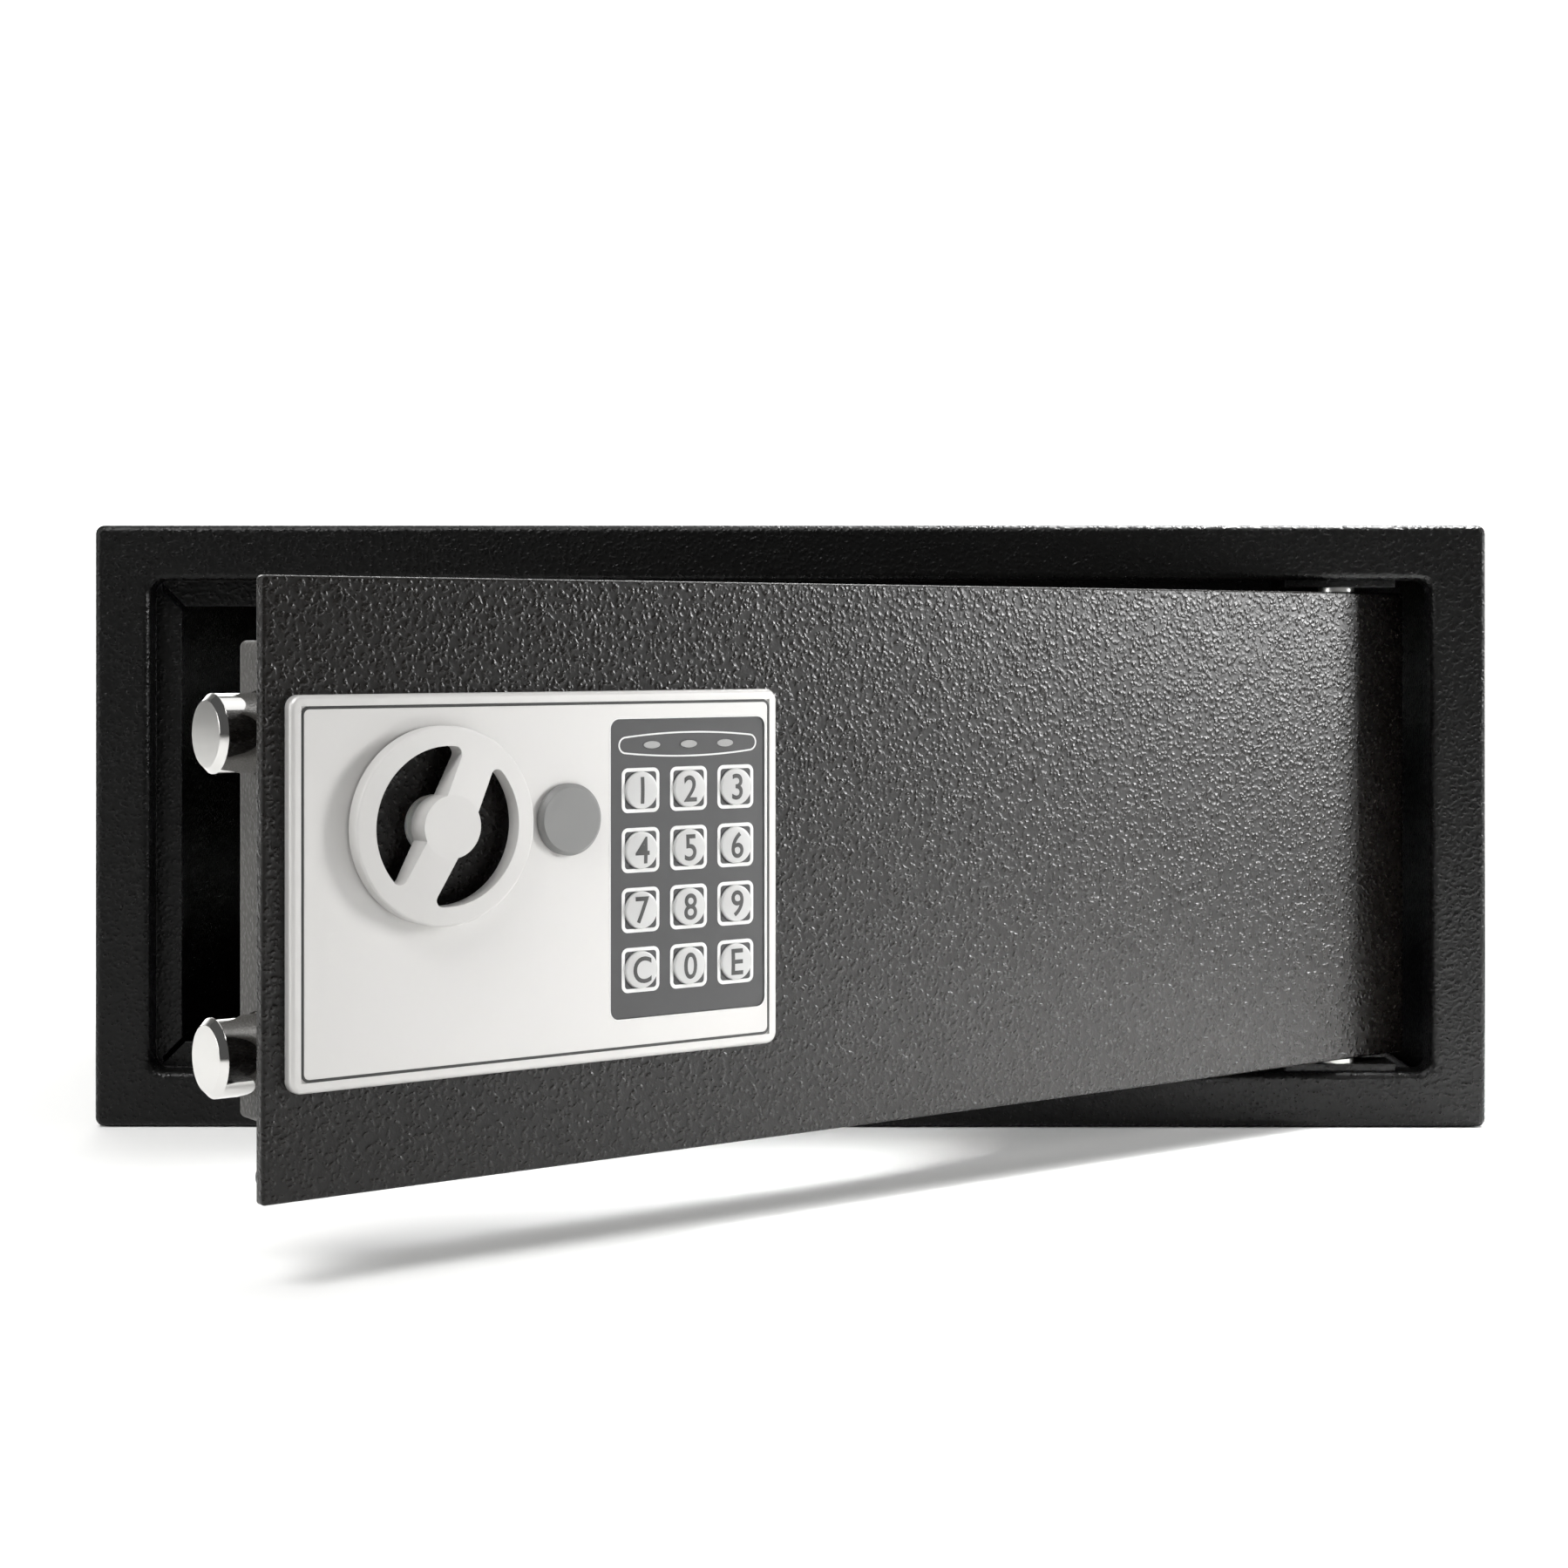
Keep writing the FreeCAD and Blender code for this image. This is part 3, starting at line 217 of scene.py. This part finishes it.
def buildWrinkle(t, given, out):
    # powder coat: rounded grains that run together, from smooth cells bent by a slow noise,
    # and a little fine noise on top. Height is 0 in the valleys and 1 on the grains.
    place = t.add("ShaderNodeTexCoord").outputs["Object"]
    scaled = t.add("ShaderNodeVectorMath", operation="SCALE")
    t.link(place, scaled.inputs[0])
    t.link(given["Grains per metre"], scaled.inputs["Scale"])
    bend = t.add("ShaderNodeTexNoise")
    bend.inputs["Scale"].default_value = 0.6
    t.link(scaled.outputs[0], bend.inputs["Vector"])
    push = t.add("ShaderNodeVectorMath", operation="MULTIPLY_ADD")
    t.link(bend.outputs["Color"], push.inputs[0])
    push.inputs[1].default_value = (1.6, 1.6, 1.6)
    t.link(scaled.outputs[0], push.inputs[2])
    cells = t.add("ShaderNodeTexVoronoi", feature="SMOOTH_F1")
    cells.inputs["Scale"].default_value = 1.0
    cells.inputs["Smoothness"].default_value = 0.55
    t.link(push.outputs[0], cells.inputs["Vector"])
    grain = t.span(cells.outputs["Distance"], 0.12, 0.62, 1.0, 0.0)
    fine = t.noise(push.outputs[0], 2.3, 2.0, 0.55)
    height = t.math("ADD", t.math("MULTIPLY", grain, 0.8), t.math("MULTIPLY", fine, 0.35))
    broad = t.noise(place, 9.0, 3.0, 0.55)
    t.link(height, out["Height"])
    t.link(grain, out["Grain"])
    t.link(broad, out["Cloud"])


def buildBrushing(t, given, out):
    # fine turning or brushing marks: noise stretched along one axis
    place = t.add("ShaderNodeTexCoord").outputs["Object"]
    stretch = t.add("ShaderNodeMapping")
    t.link(place, stretch.inputs["Vector"])
    stretch.inputs["Scale"].default_value = (60, 60, 4000)
    marks = t.noise(stretch.outputs[0], 1.0, 3.0, 0.6)
    cloud = t.noise(place, 40.0, 2.0)
    t.link(marks, out["Height"])
    t.link(t.math("MULTIPLY", cloud, given["Cloudiness"]), out["Cloud"])


def buildMould(t, given, out):
    # moulded or painted skin: a very fine orange peel and slow colour change
    place = t.add("ShaderNodeTexCoord").outputs["Object"]
    scaled = t.add("ShaderNodeVectorMath", operation="SCALE")
    t.link(place, scaled.inputs[0])
    t.link(given["Grains per metre"], scaled.inputs["Scale"])
    peel = t.noise(scaled.outputs[0], 1.0, 3.0, 0.6)
    cloud = t.noise(place, 25.0, 2.0)
    t.link(peel, out["Height"])
    t.link(cloud, out["Cloud"])


wrinkleGroup = makeGroup("wrinkle coat", {"Grains per metre": 600.0},
                         {"Height": "Float", "Grain": "Float", "Cloud": "Float"}, buildWrinkle)
brushedGroup = makeGroup("brushed metal", {"Cloudiness": 1.0}, {"Height": "Float", "Cloud": "Float"},
                         buildBrushing)
mouldGroup = makeGroup("moulded skin", {"Grains per metre": 3000.0}, {"Height": "Float", "Cloud": "Float"},
                       buildMould)


def newMaterial(name, colour, roughness=0.5, metallic=0.0, **values):
    material = bpy.data.materials.new(name)
    material.use_nodes = True
    t = Tree(material.node_tree)
    shader = material.node_tree.nodes["Principled BSDF"]
    shader.inputs["Base Color"].default_value = (*colour, 1)
    shader.inputs["Roughness"].default_value = roughness
    shader.inputs["Metallic"].default_value = metallic
    for key, value in values.items():
        shader.inputs[key.replace("_", " ")].default_value = value
    return material, t, shader


def addBump(t, shader, height, distance, edge=0.0):
    # edge is how far sharp edges look rounded
    bump = t.add("ShaderNodeBump")
    if edge:
        soft = t.add("ShaderNodeBevel", samples=4)
        soft.inputs["Radius"].default_value = edge
        t.link(soft.outputs[0], bump.inputs["Normal"])
    bump.inputs["Distance"].default_value = distance
    bump.inputs["Strength"].default_value = 1.0
    t.link(height, bump.inputs["Height"])
    t.link(bump.outputs[0], shader.inputs["Normal"])


def useGroup(t, group, **values):
    node = t.add("ShaderNodeGroup", node_tree=group)
    for key, value in values.items():
        node.inputs[key.replace("_", " ")].default_value = value
    return node.outputs


# materials

# how far sharp edges look rounded on each kind of skin
softEdge = {"coat": 0.6 * mm, "metal": 0.2 * mm, "moulded": 0.25 * mm}


def wrinkleCoat(name, shadedValley, crest, rough, perMetre, depth, gloss=0.5):
    material, t, shader = newMaterial(name, crest, 0.4, 0.0, Specular_IOR_Level=gloss)
    coat = useGroup(t, wrinkleGroup, Grains_per_metre=perMetre)
    # the valleys between grains take the darker colour: painted shade in the coat's hollows
    colour = t.mixColour(coat["Grain"], shadedValley, crest)
    dark = t.mixColour(t.span(coat["Cloud"], 0.35, 0.7), colour, tuple(c * 0.8 for c in crest))
    t.link(dark, shader.inputs["Base Color"])
    t.link(t.span(coat["Grain"], 0, 1, rough + 0.14, rough), shader.inputs["Roughness"])
    addBump(t, shader, coat["Height"], depth, softEdge["coat"])
    return material


def metalSkin(name, colour, roughness, depth=0.00001, cloudiness=0.06):
    material, t, shader = newMaterial(name, colour, roughness, 1.0)
    skin = useGroup(t, brushedGroup, Cloudiness=cloudiness)
    t.link(t.math("ADD", skin["Cloud"], roughness - cloudiness / 2), shader.inputs["Roughness"])
    addBump(t, shader, skin["Height"], depth, softEdge["metal"])
    return material


def mouldedSkin(name, colour, roughness, perMetre=3000.0, depth=0.00002, change=0.06, metallic=0.0, **more):
    material, t, shader = newMaterial(name, colour, roughness, metallic, **more)
    skin = useGroup(t, mouldGroup, Grains_per_metre=perMetre)
    low, high = tuple(c * (1 - change) for c in colour), tuple(min(c * (1 + change), 1) for c in colour)
    t.link(t.mixColour(skin["Cloud"], low, high), shader.inputs["Base Color"])
    t.link(t.span(skin["Height"], 0.3, 0.7, roughness - 0.04, roughness + 0.04), shader.inputs["Roughness"])
    addBump(t, shader, skin["Height"], depth, softEdge["moulded"])
    return material


def feltMaterial():
    # needle felt: matted fibres from stretched noise, with sheen
    material, t, shader = newMaterial("needle felt", (0.03, 0.03, 0.032), 0.95, Sheen_Weight=0.4,
                                      Sheen_Roughness=0.5)
    place = t.add("ShaderNodeTexCoord").outputs["Object"]
    fibres = t.noise(place, 900.0, 4.0, 0.7, 2.5)
    tufts = t.noise(place, 160.0, 3.0, 0.6)
    t.link(t.mixColour(fibres, (0.018, 0.018, 0.02), (0.06, 0.06, 0.064)), shader.inputs["Base Color"])
    addBump(t, shader, t.math("ADD", fibres, t.math("MULTIPLY", tufts, 0.6)), 0.0006)
    return material


def boardMaterial():
    # solder mask over copper tracks: bands of a warped wave, with tinned pads at cell centres
    material, t, shader = newMaterial("circuit board", (0.02, 0.14, 0.06), 0.35)
    place = t.add("ShaderNodeTexCoord").outputs["Object"]
    cells = t.add("ShaderNodeTexVoronoi", feature="F1", distance="CHEBYCHEV")
    cells.inputs["Scale"].default_value = 190.0
    t.link(place, cells.inputs["Vector"])
    tracks = t.span(cells.outputs["Distance"], 0.42, 0.46)
    pads = t.span(cells.outputs["Distance"], 0.12, 0.09)
    green = t.mixColour(tracks, (0.012, 0.09, 0.035), (0.03, 0.2, 0.08))
    t.link(t.mixColour(pads, green, (0.6, 0.58, 0.52)), shader.inputs["Base Color"])
    t.link(pads, shader.inputs["Metallic"])
    addBump(t, shader, tracks, 0.00003)
    return material


def wrapMaterial():
    # cells in a printed film: a dark blue body whose tone changes slowly
    material, t, shader = newMaterial("cell film", (0.05, 0.1, 0.2), 0.28)
    skin = useGroup(t, mouldGroup, Grains_per_metre=1500.0)
    t.link(t.mixColour(skin["Cloud"], (0.03, 0.07, 0.16), (0.07, 0.13, 0.24)), shader.inputs["Base Color"])
    addBump(t, shader, skin["Height"], 0.00002)
    return material


print("making the materials")
blackCoat = wrinkleCoat("black wrinkle coat", shadedValley=(0.0014, 0.0014, 0.0013), crest=(0.0042, 0.0042, 0.004),
                        rough=0.24, perMetre=760, depth=0.18 * mm, gloss=0.2)
# a lighter, warmer copy of the frame's black coat: painted light for the brightness the door catches
doorCoatPaintedLight = wrinkleCoat("door wrinkle coat painted light", shadedValley=(0.0022, 0.0019, 0.0016), crest=(0.0075, 0.0064, 0.0054),
                       rough=0.19, perMetre=720, depth=0.14 * mm, gloss=0.32)
# the same black coat painted light grey: painted reflection along the lock box's side
boxCoatPaintedReflection = wrinkleCoat("lock box coat painted reflection", shadedValley=(0.02, 0.019, 0.0175), crest=(0.06, 0.057, 0.052),
                      rough=0.42, perMetre=780, depth=0.16 * mm)
silverPaint = mouldedSkin("silver paint", (0.55, 0.542, 0.53), 0.42, 5200.0, 0.000006, 0.02, 0.35)
knobPaint = mouldedSkin("silver knob paint", (0.52, 0.512, 0.5), 0.62, 5200.0, 0.000006, 0.02, 0.0)
overlayFilm = mouldedSkin("overlay film", (0.033, 0.033, 0.034), 0.5, 9000.0, 0.00001, 0.04)
keyPlastic = mouldedSkin("key plastic", (0.47, 0.47, 0.465), 0.34, 4000.0, 0.000004, 0.02, Coat_Weight=0.3)
capPlastic = mouldedSkin("cap plastic", (0.165, 0.165, 0.162), 0.45, 5000.0, 0.00001, 0.05)
lensPlastic = mouldedSkin("indicator lens", (0.3, 0.3, 0.295), 0.3, 5000.0, 0.00001, 0.05)
whiteInkAndHighlight = mouldedSkin("white ink and painted highlight", (0.72, 0.72, 0.71), 0.45, 6000.0, 0.000004, 0.02)
blackInk = mouldedSkin("black ink", (0.03, 0.03, 0.029), 0.4, 6000.0, 0.000004, 0.05)
# near black for the band laid in the foot of the panel's groove
grooveDarkFill = mouldedSkin("groove dark fill", (0.02, 0.02, 0.019), 0.4, 6000.0, 0.000004, 0.05)
chrome = metalSkin("polished chrome", (0.72, 0.712, 0.695), 0.06, 0.0000006, 0.03)
zinc = metalSkin("zinc plate", (0.62, 0.62, 0.6), 0.32)
brass = metalSkin("brass", (0.72, 0.52, 0.24), 0.3)
rubber = mouldedSkin("rubber", (0.02, 0.02, 0.02), 0.7, 2500.0, 0.00003)
nylon = mouldedSkin("nylon", (0.7, 0.69, 0.65), 0.5, 2500.0, 0.00002, 0.03, Subsurface_Weight=0.1)
blackPlastic = mouldedSkin("black plastic", (0.022, 0.022, 0.023), 0.45, 2600.0, 0.00002)
redPlastic = mouldedSkin("red plastic", (0.5, 0.02, 0.015), 0.35, 3000.0, 0.00001)
felt = feltMaterial()
board = boardMaterial()
cellFilm = wrapMaterial()

finishes = {
    blackCoat: ["front_frame", "body_wrap", "back_panel", "hinge_brackets"],
    doorCoatPaintedLight: ["door_plate", "door_hinge_lugs"],
    boxCoatPaintedReflection: ["lock_box"],
    silverPaint: ["panel_housing"],
    knobPaint: ["knob"],
    overlayFilm: ["keypad_overlay"],
    keyPlastic: keyNodes(),
    capPlastic: ["lock_cap"],
    lensPlastic: ["indicator_lenses"],
    chrome: ["bolt_upper", "bolt_lower"],
    brass: ["override_plug"],
    rubber: ["door_bumper"],
    nylon: ["bolt_guides", "knob_bush"],
    blackPlastic: ["keypad_switches", "battery_tray", "battery_cover"],
    redPlastic: ["reset_button"],
    board: ["keypad_board", "control_board"],
    cellFilm: ["batteries"],
    felt: ["floor_mat"],
}
finished = {name: material for material, names in finishes.items() for name in names}
# what isn't listed is zinc plated steel
for name, node in nodes.items():
    node.data.materials.clear()
    node.data.materials.append(finished.get(name, zinc))


# the panel's groove line

groove = {"inset": 2.6 * mm, "width": 0.7 * mm, "corner": 1.4 * mm, "sunk": 0.04 * mm, "ink": 0.05 * mm,
          "steps": 8}


def makeGroove():
    # dark line that fills the foot of the groove round the panel
    low, high = shutBox("panel_housing")
    middle, half = (low + high) / 2, (high - low) / 2
    outerX, outerZ = half[0] - groove["inset"], half[2] - groove["inset"]
    width, corner, steps = groove["width"], groove["corner"], groove["steps"]
    outer = roundedOutline(outerX, outerZ, corner + width, steps)
    inner = roundedOutline(outerX - width, outerZ - width, corner, steps)
    points, faces = printedBand(outer, inner, groove["ink"])
    points += [middle[0], low[1] + groove["sunk"], middle[2]]
    makePiece("groove_line", openDoor(points), faces, "door", grooveDarkFill, False)


# printing on the keypad, and a painted highlight along the overlay's rim

printing = {"keyFrame": 11.2 * mm, "frameStroke": 0.95 * mm, "frameCorner": 1.8 * mm, "ink": 0.04 * mm,
            "pillHalf": 21 * mm, "pillMiddle": 3.2 * mm, "pillEnd": 2.2 * mm, "pillStroke": 0.42 * mm,
            "digitHeight": 6.7 * mm, "digitWidth": 0.92, "digitInk": 0.035 * mm,
            "digitWeight": 0.012, "digitCuts": 3, "digitEdge": 0.08, "highlightStroke": 0.3 * mm,
            "highlightCorner": 2.4 * mm, "cornerSteps": 8, "pillSteps": 31, "endSteps": 14}


def keyCentre(node):
    low, high = shutBox(node)
    return (low + high) / 2


def makeKeyFrames():
    # a rounded square line round each key, printed on the overlay
    low = shutBox("keypad_overlay")[0]
    half, stroke = printing["keyFrame"] / 2, printing["frameStroke"]
    outer = roundedOutline(half, half, printing["frameCorner"], printing["cornerSteps"])
    inner = roundedOutline(half - stroke, half - stroke, printing["frameCorner"] - stroke,
                           printing["cornerSteps"])
    band, faces = printedBand(outer, inner, printing["ink"])
    parts = []
    for node in keyNodes():
        centre = keyCentre(node)
        parts.append((band + [centre[0], low[1], centre[2]], faces))
    points, faces = joined(parts)
    makePiece("key_frames", openDoor(points), faces, "door", whiteInkAndHighlight, False)


def makeOverlayEdgeHighlight():
    # a painted highlight: a white band along the rim of the recess that the overlay lies in, for the light
    # its edge catches
    low, high = shutBox("keypad_overlay")
    face = shutBox("panel_housing")[0][1]
    middle, half = (low + high) / 2, (high - low) / 2
    stroke, corner, steps = printing["highlightStroke"], printing["highlightCorner"], printing["cornerSteps"]
    outer = roundedOutline(half[0] + stroke, half[2] + stroke, corner + stroke, steps)
    inner = roundedOutline(half[0], half[2], corner, steps)
    points, faces = printedBand(outer, inner, printing["ink"])
    points += [middle[0], face, middle[2]]
    makePiece("overlay_edge_highlight", openDoor(points), faces, "door", whiteInkAndHighlight, False)


def pillOutline(grow):
    # a bulged pill with half-round ends, its top and bottom shallow arcs:
    # z = end + (middle - end) * (1 - (x / half)^2)
    end, middle = printing["pillEnd"], printing["pillMiddle"]
    half = printing["pillHalf"] - end
    x = np.linspace(1, -1, printing["pillSteps"]) * half
    top = np.stack([x, end + (middle - end) * (1 - (x / half) ** 2) + grow], -1)
    t = np.linspace(math.pi / 2, 3 * math.pi / 2, printing["endSteps"])[1:-1]
    left = np.stack([-half + (end + grow) * np.cos(t), (end + grow) * np.sin(t)], -1)
    return np.concatenate([top, left, -top, -left])


def makePill():
    # the white line round the three indicator lenses
    face = shutBox("keypad_overlay")[0][1]
    lensLow, lensHigh = shutBox("indicator_lenses")
    middle = (lensLow + lensHigh) / 2
    points, faces = printedBand(pillOutline(0), pillOutline(-printing["pillStroke"]), printing["ink"])
    points += [middle[0], face, middle[2]]
    makePiece("lens_line", openDoor(points), faces, "door", whiteInkAndHighlight, False)


# the keys' domed faces

dome = {"radius": 4.7 * mm, "crown": 0.6 * mm, "edge": 0.35 * mm, "around": 56, "rings": 14}


def domeDepth(r):
    # how far the key's surface has fallen back at radius r: (crown - edge) * (r / radius)^2, and near the
    # rim a quarter round of the edge's size
    rim = np.clip((r - (dome["radius"] - dome["edge"])) / dome["edge"], 0, 1)
    fall = (dome["crown"] - dome["edge"]) * (r / dome["radius"]) ** 2
    return fall + dome["edge"] * (1 - np.sqrt(1 - rim ** 2))


def makeKey(node):
    # a turned key: the domed face, then its side back to the tail
    low, high = shutBox(node)
    centre = (low + high) / 2
    share = np.sin(np.linspace(0, math.pi / 2, dome["rings"]))
    r = np.concatenate([share * dome["radius"], [dome["radius"], 0.0]])
    back = np.concatenate([domeDepth(share * dome["radius"]), [high[1] - low[1]] * 2])
    t = np.linspace(0, 2 * math.pi, dome["around"], endpoint=False)
    points = np.stack([centre[0] + np.outer(r, np.cos(t)), low[1] + np.outer(back, np.ones(len(t))),
                       centre[2] + np.outer(r, np.sin(t))], -1).reshape(-1, 3)
    faces = gridFaces(len(r), len(t), False, True)
    key = makePiece("cap_" + node[-1], openDoor(points), faces, node, keyPlastic, True)
    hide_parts(node)


def makeDigit(node):
    # a numeral or letter that follows the key's domed face
    low, high = shutBox(node)
    centre = (low + high) / 2
    text = bpy.data.curves.new("mark", "FONT")
    text.body = node[-1].upper()
    text.align_x, text.align_y = "CENTER", "CENTER"
    text.resolution_u = 6
    text.offset = printing["digitWeight"]
    source = bpy.data.objects.new("mark", text)
    bpy.context.scene.collection.objects.link(source)
    bpy.context.view_layer.update()
    flat = bpy.data.meshes.new_from_object(source)
    bpy.data.objects.remove(source)
    shape = bmesh.new()
    shape.from_mesh(flat)
    bpy.data.meshes.remove(flat)
    tall = max(v.co.y for v in shape.verts) - min(v.co.y for v in shape.verts)
    for _ in range(printing["digitCuts"]):
        bmesh.ops.triangulate(shape, faces=shape.faces)
        long = [e for e in shape.edges if e.calc_length() > tall * printing["digitEdge"]]
        bmesh.ops.subdivide_edges(shape, edges=long, cuts=1)
    bmesh.ops.triangulate(shape, faces=shape.faces)
    points = np.array([v.co for v in shape.verts])
    faces = [[v.index for v in f.verts] for f in shape.faces]
    shape.free()
    points -= (points.max(0) + points.min(0)) / 2
    scale = printing["digitHeight"] / tall
    x, z = points[:, 0] * scale * printing["digitWidth"], points[:, 1] * scale
    y = low[1] + domeDepth(np.hypot(x, z)) - printing["digitInk"]
    place = np.stack([centre[0] + x, y, centre[2] + z], -1)
    return makePiece("mark_" + node[-1], openDoor(place), faces, node, blackInk, False)


# screws on the back of the lock box

screws = {"radius": 3.9 * mm, "height": 2.0 * mm, "lip": 0.7 * mm, "arm": 2.3 * mm, "slot": 0.42 * mm,
          "deep": 1.1 * mm, "soft": 0.25 * mm, "post": 3.5 * mm, "around": 64, "rings": 26}


def makeScrews():
    # pan heads on a polar grid: height = lip + (height - lip) * sqrt(1 - (r / radius)^2), less the cross
    # recess, whose depth falls to nothing over a short way at the edge of each arm
    r, t = np.meshgrid(np.linspace(0, 1, screws["rings"]) * screws["radius"],
                       np.linspace(0, 2 * math.pi, screws["around"], endpoint=False), indexing="ij")
    x, z = r * np.cos(t), r * np.sin(t)
    high = screws["lip"] + (screws["height"] - screws["lip"]) * np.sqrt(1 - (r / screws["radius"]) ** 2)
    recess = np.zeros(r.shape)
    for a, b in ((x, z), (z, x)):
        out = np.maximum(np.abs(a) - screws["arm"], np.abs(b) - screws["slot"]) / screws["soft"]
        recess = np.maximum(recess, np.clip(1 - out, 0, 1))
    face = np.stack([x, high - recess * screws["deep"], z], -1)
    foot = face[-1:] * (1, 0, 1)
    head = np.concatenate([face, foot]).reshape(-1, 3)
    faces = gridFaces(screws["rings"] + 1, screws["around"], False, True)[:, ::-1]
    low, high = shutBox("lock_box_posts")
    back = shutBox("lock_box")[1][1]
    # a hexagon's corner stands at its flat's distance / cos 30 from the middle
    flat, point = screws["post"], screws["post"] / math.cos(math.pi / 6)
    parts = []
    for px in (low[0] + flat, high[0] - flat):
        for pz in (low[2] + point, high[2] - point):
            parts.append((head + [px, back, pz], faces))
    points, faces = joined(parts)
    makePiece("box_screws", openDoor(points), faces, "door", zinc, True)


# felt mat

mat = {"cell": 2.2 * mm, "hole": 9 * mm, "holesX": (-125 * mm, 125 * mm), "holesY": (100 * mm, 300 * mm),
       "thick": 2.6 * mm, "wave": 0.25 * mm, "waveX": 61, "waveY": 47, "near": 0.62}


def makeMat():
    # a flat sheet of cells with a slight wave; a cell's corner near a hole is moved on to the hole's circle,
    # and cells inside are left out
    low, high = (np.array(c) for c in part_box("floor_mat"))
    holes = [(x, y) for x in mat["holesX"] for y in mat["holesY"]]
    size = (high - low)[:2]
    counts = (size / mat["cell"]).astype(int) + 1
    x, y = np.meshgrid(*(np.linspace(low[n], high[n], counts[n]) for n in (0, 1)), indexing="ij")
    z = high[2] - mat["wave"] + mat["wave"] * np.sin(x * mat["waveX"]) * np.sin(y * mat["waveY"])
    points = np.stack([x, y, z], -1).reshape(-1, 3)
    for hx, hy in holes:
        offset = points[:, :2] - (hx, hy)
        away = np.hypot(*offset.T)
        near = np.abs(away - mat["hole"]) < mat["cell"] * mat["near"]
        points[near, :2] = (hx, hy) + offset[near] * (mat["hole"] / away[near])[:, None]
    faces = gridFaces(counts[0], counts[1])
    middle = points[faces].mean(1)[:, :2]
    keep = np.ones(len(faces), bool)
    for hx, hy in holes:
        keep &= np.hypot(middle[:, 0] - hx, middle[:, 1] - hy) > mat["hole"]
    piece = makePiece("felt_mat", points, faces[keep], "safe", felt, True)
    thicken = piece.modifiers.new("thickness", "SOLIDIFY")
    thicken.thickness = mat["thick"] - mat["wave"]
    thicken.offset = -1
    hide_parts("floor_mat")


print("making the panel's printing")
makeGroove()
makeKeyFrames()
makeOverlayEdgeHighlight()
makePill()
for node in keyNodes():
    makeKey(node)
    makeDigit(node)
print("making the screws and the mat")
makeScrews()
makeMat()


# camera, floor and light

view = {"place": (-1.2 * mm, -811.2 * mm, 150.0 * mm), "lens": 60.33, "turn": 0.0027, "sensor": 36,
        "shift": (0.0032, -0.0909), "far": 50}
sweep = {"front": -4.0, "bend": 2.0, "radius": 1.2, "top": 5.0, "half": 6.0, "steps": 16, "under": 0.2 * mm,
         "colour": (0.86, 0.86, 0.85), "rough": 0.9}
skyLight = 0.1
lamps = {
    "key": {"place": (-0.6, -1.2, 1.7), "aim": (0, -0.1, 0.1),
            "size": (1.0, 0.8), "power": 5.9, "spread": 70},
    "overhead": {"place": (0.0, 0.3, 1.5), "aim": (0, 0.1, 0.1),
                 "size": (1.8, 1.2), "power": 4, "spread": 110},
    "right": {"place": (1.35, -0.12, 0.4), "aim": (0.15, -0.02, 0.14),
              "size": (0.3, 0.5), "power": 1.6, "spread": 50},
    "left": {"place": (-1.2, -0.5, 0.45), "aim": (-0.1, -0.1, 0.1),
             "size": (0.5, 0.7), "power": 1, "spread": 60},
    "edge": {"place": (0.3, 0.14, 0.9), "aim": (0.2, 0.05, 0.186),
             "size": (1.0, 0.12), "power": 5, "spread": 40},
    "backdrop": {"place": (0.0, 1.2, 2.2), "aim": (0, 2.8, 0.7),
                 "size": (2.6, 0.8), "power": 260, "spread": 140},
}


def makeLamp(name, values):
    light = bpy.data.lights.new(name, "AREA")
    light.shape = "RECTANGLE"
    light.size, light.size_y = values["size"]
    light.energy = values["power"]
    light.spread = math.radians(values["spread"])
    lamp = bpy.data.objects.new(name, light)
    bpy.context.scene.collection.objects.link(lamp)
    lamp.location = values["place"]
    aim = np.array(values["aim"]) - np.array(values["place"])
    flat = math.hypot(aim[0], aim[1])
    lamp.rotation_euler = (math.atan2(flat, -aim[2]), 0, math.atan2(-aim[0], aim[1]))


def makeStudio():
    camera = bpy.data.cameras.new("camera")
    camera.sensor_width = view["sensor"]
    camera.lens = view["lens"]
    camera.shift_x, camera.shift_y = view["shift"]
    camera.clip_end = view["far"]
    eye = bpy.data.objects.new("camera", camera)
    bpy.context.scene.collection.objects.link(eye)
    eye.location = view["place"]
    eye.rotation_euler = (math.pi / 2, 0, view["turn"])
    bpy.context.scene.camera = eye
    # a pale floor that sweeps up behind: y and z along a quarter circle
    t, radius, bend = np.linspace(0, math.pi / 2, sweep["steps"]), sweep["radius"], sweep["bend"]
    curve = [(bend + radius * math.sin(a), radius - radius * math.cos(a)) for a in t]
    profile = [(sweep["front"], 0.0)] + curve + [(bend + radius, sweep["top"])]
    points = [(x, y, z - sweep["under"]) for x in (-sweep["half"], sweep["half"]) for y, z in profile]
    mesh = bpy.data.meshes.new("floor")
    mesh.from_pydata(points, [], gridFaces(2, len(profile))[:, ::-1].tolist())
    mesh.polygons.foreach_set("use_smooth", np.ones(len(mesh.polygons), bool))
    floor = bpy.data.objects.new("floor", mesh)
    bpy.context.scene.collection.objects.link(floor)
    mesh.materials.append(newMaterial("pale floor", sweep["colour"], sweep["rough"])[0])
    for name, values in lamps.items():
        makeLamp(name, values)
    world = bpy.data.worlds.new("studio")
    bpy.context.scene.world = world
    world.use_nodes = True
    background = world.node_tree.nodes["Background"].inputs
    background["Color"].default_value = (1, 1, 1, 1)
    background["Strength"].default_value = skyLight
    bpy.context.scene.view_settings.view_transform = "Standard"


print("setting the studio")
makeStudio()
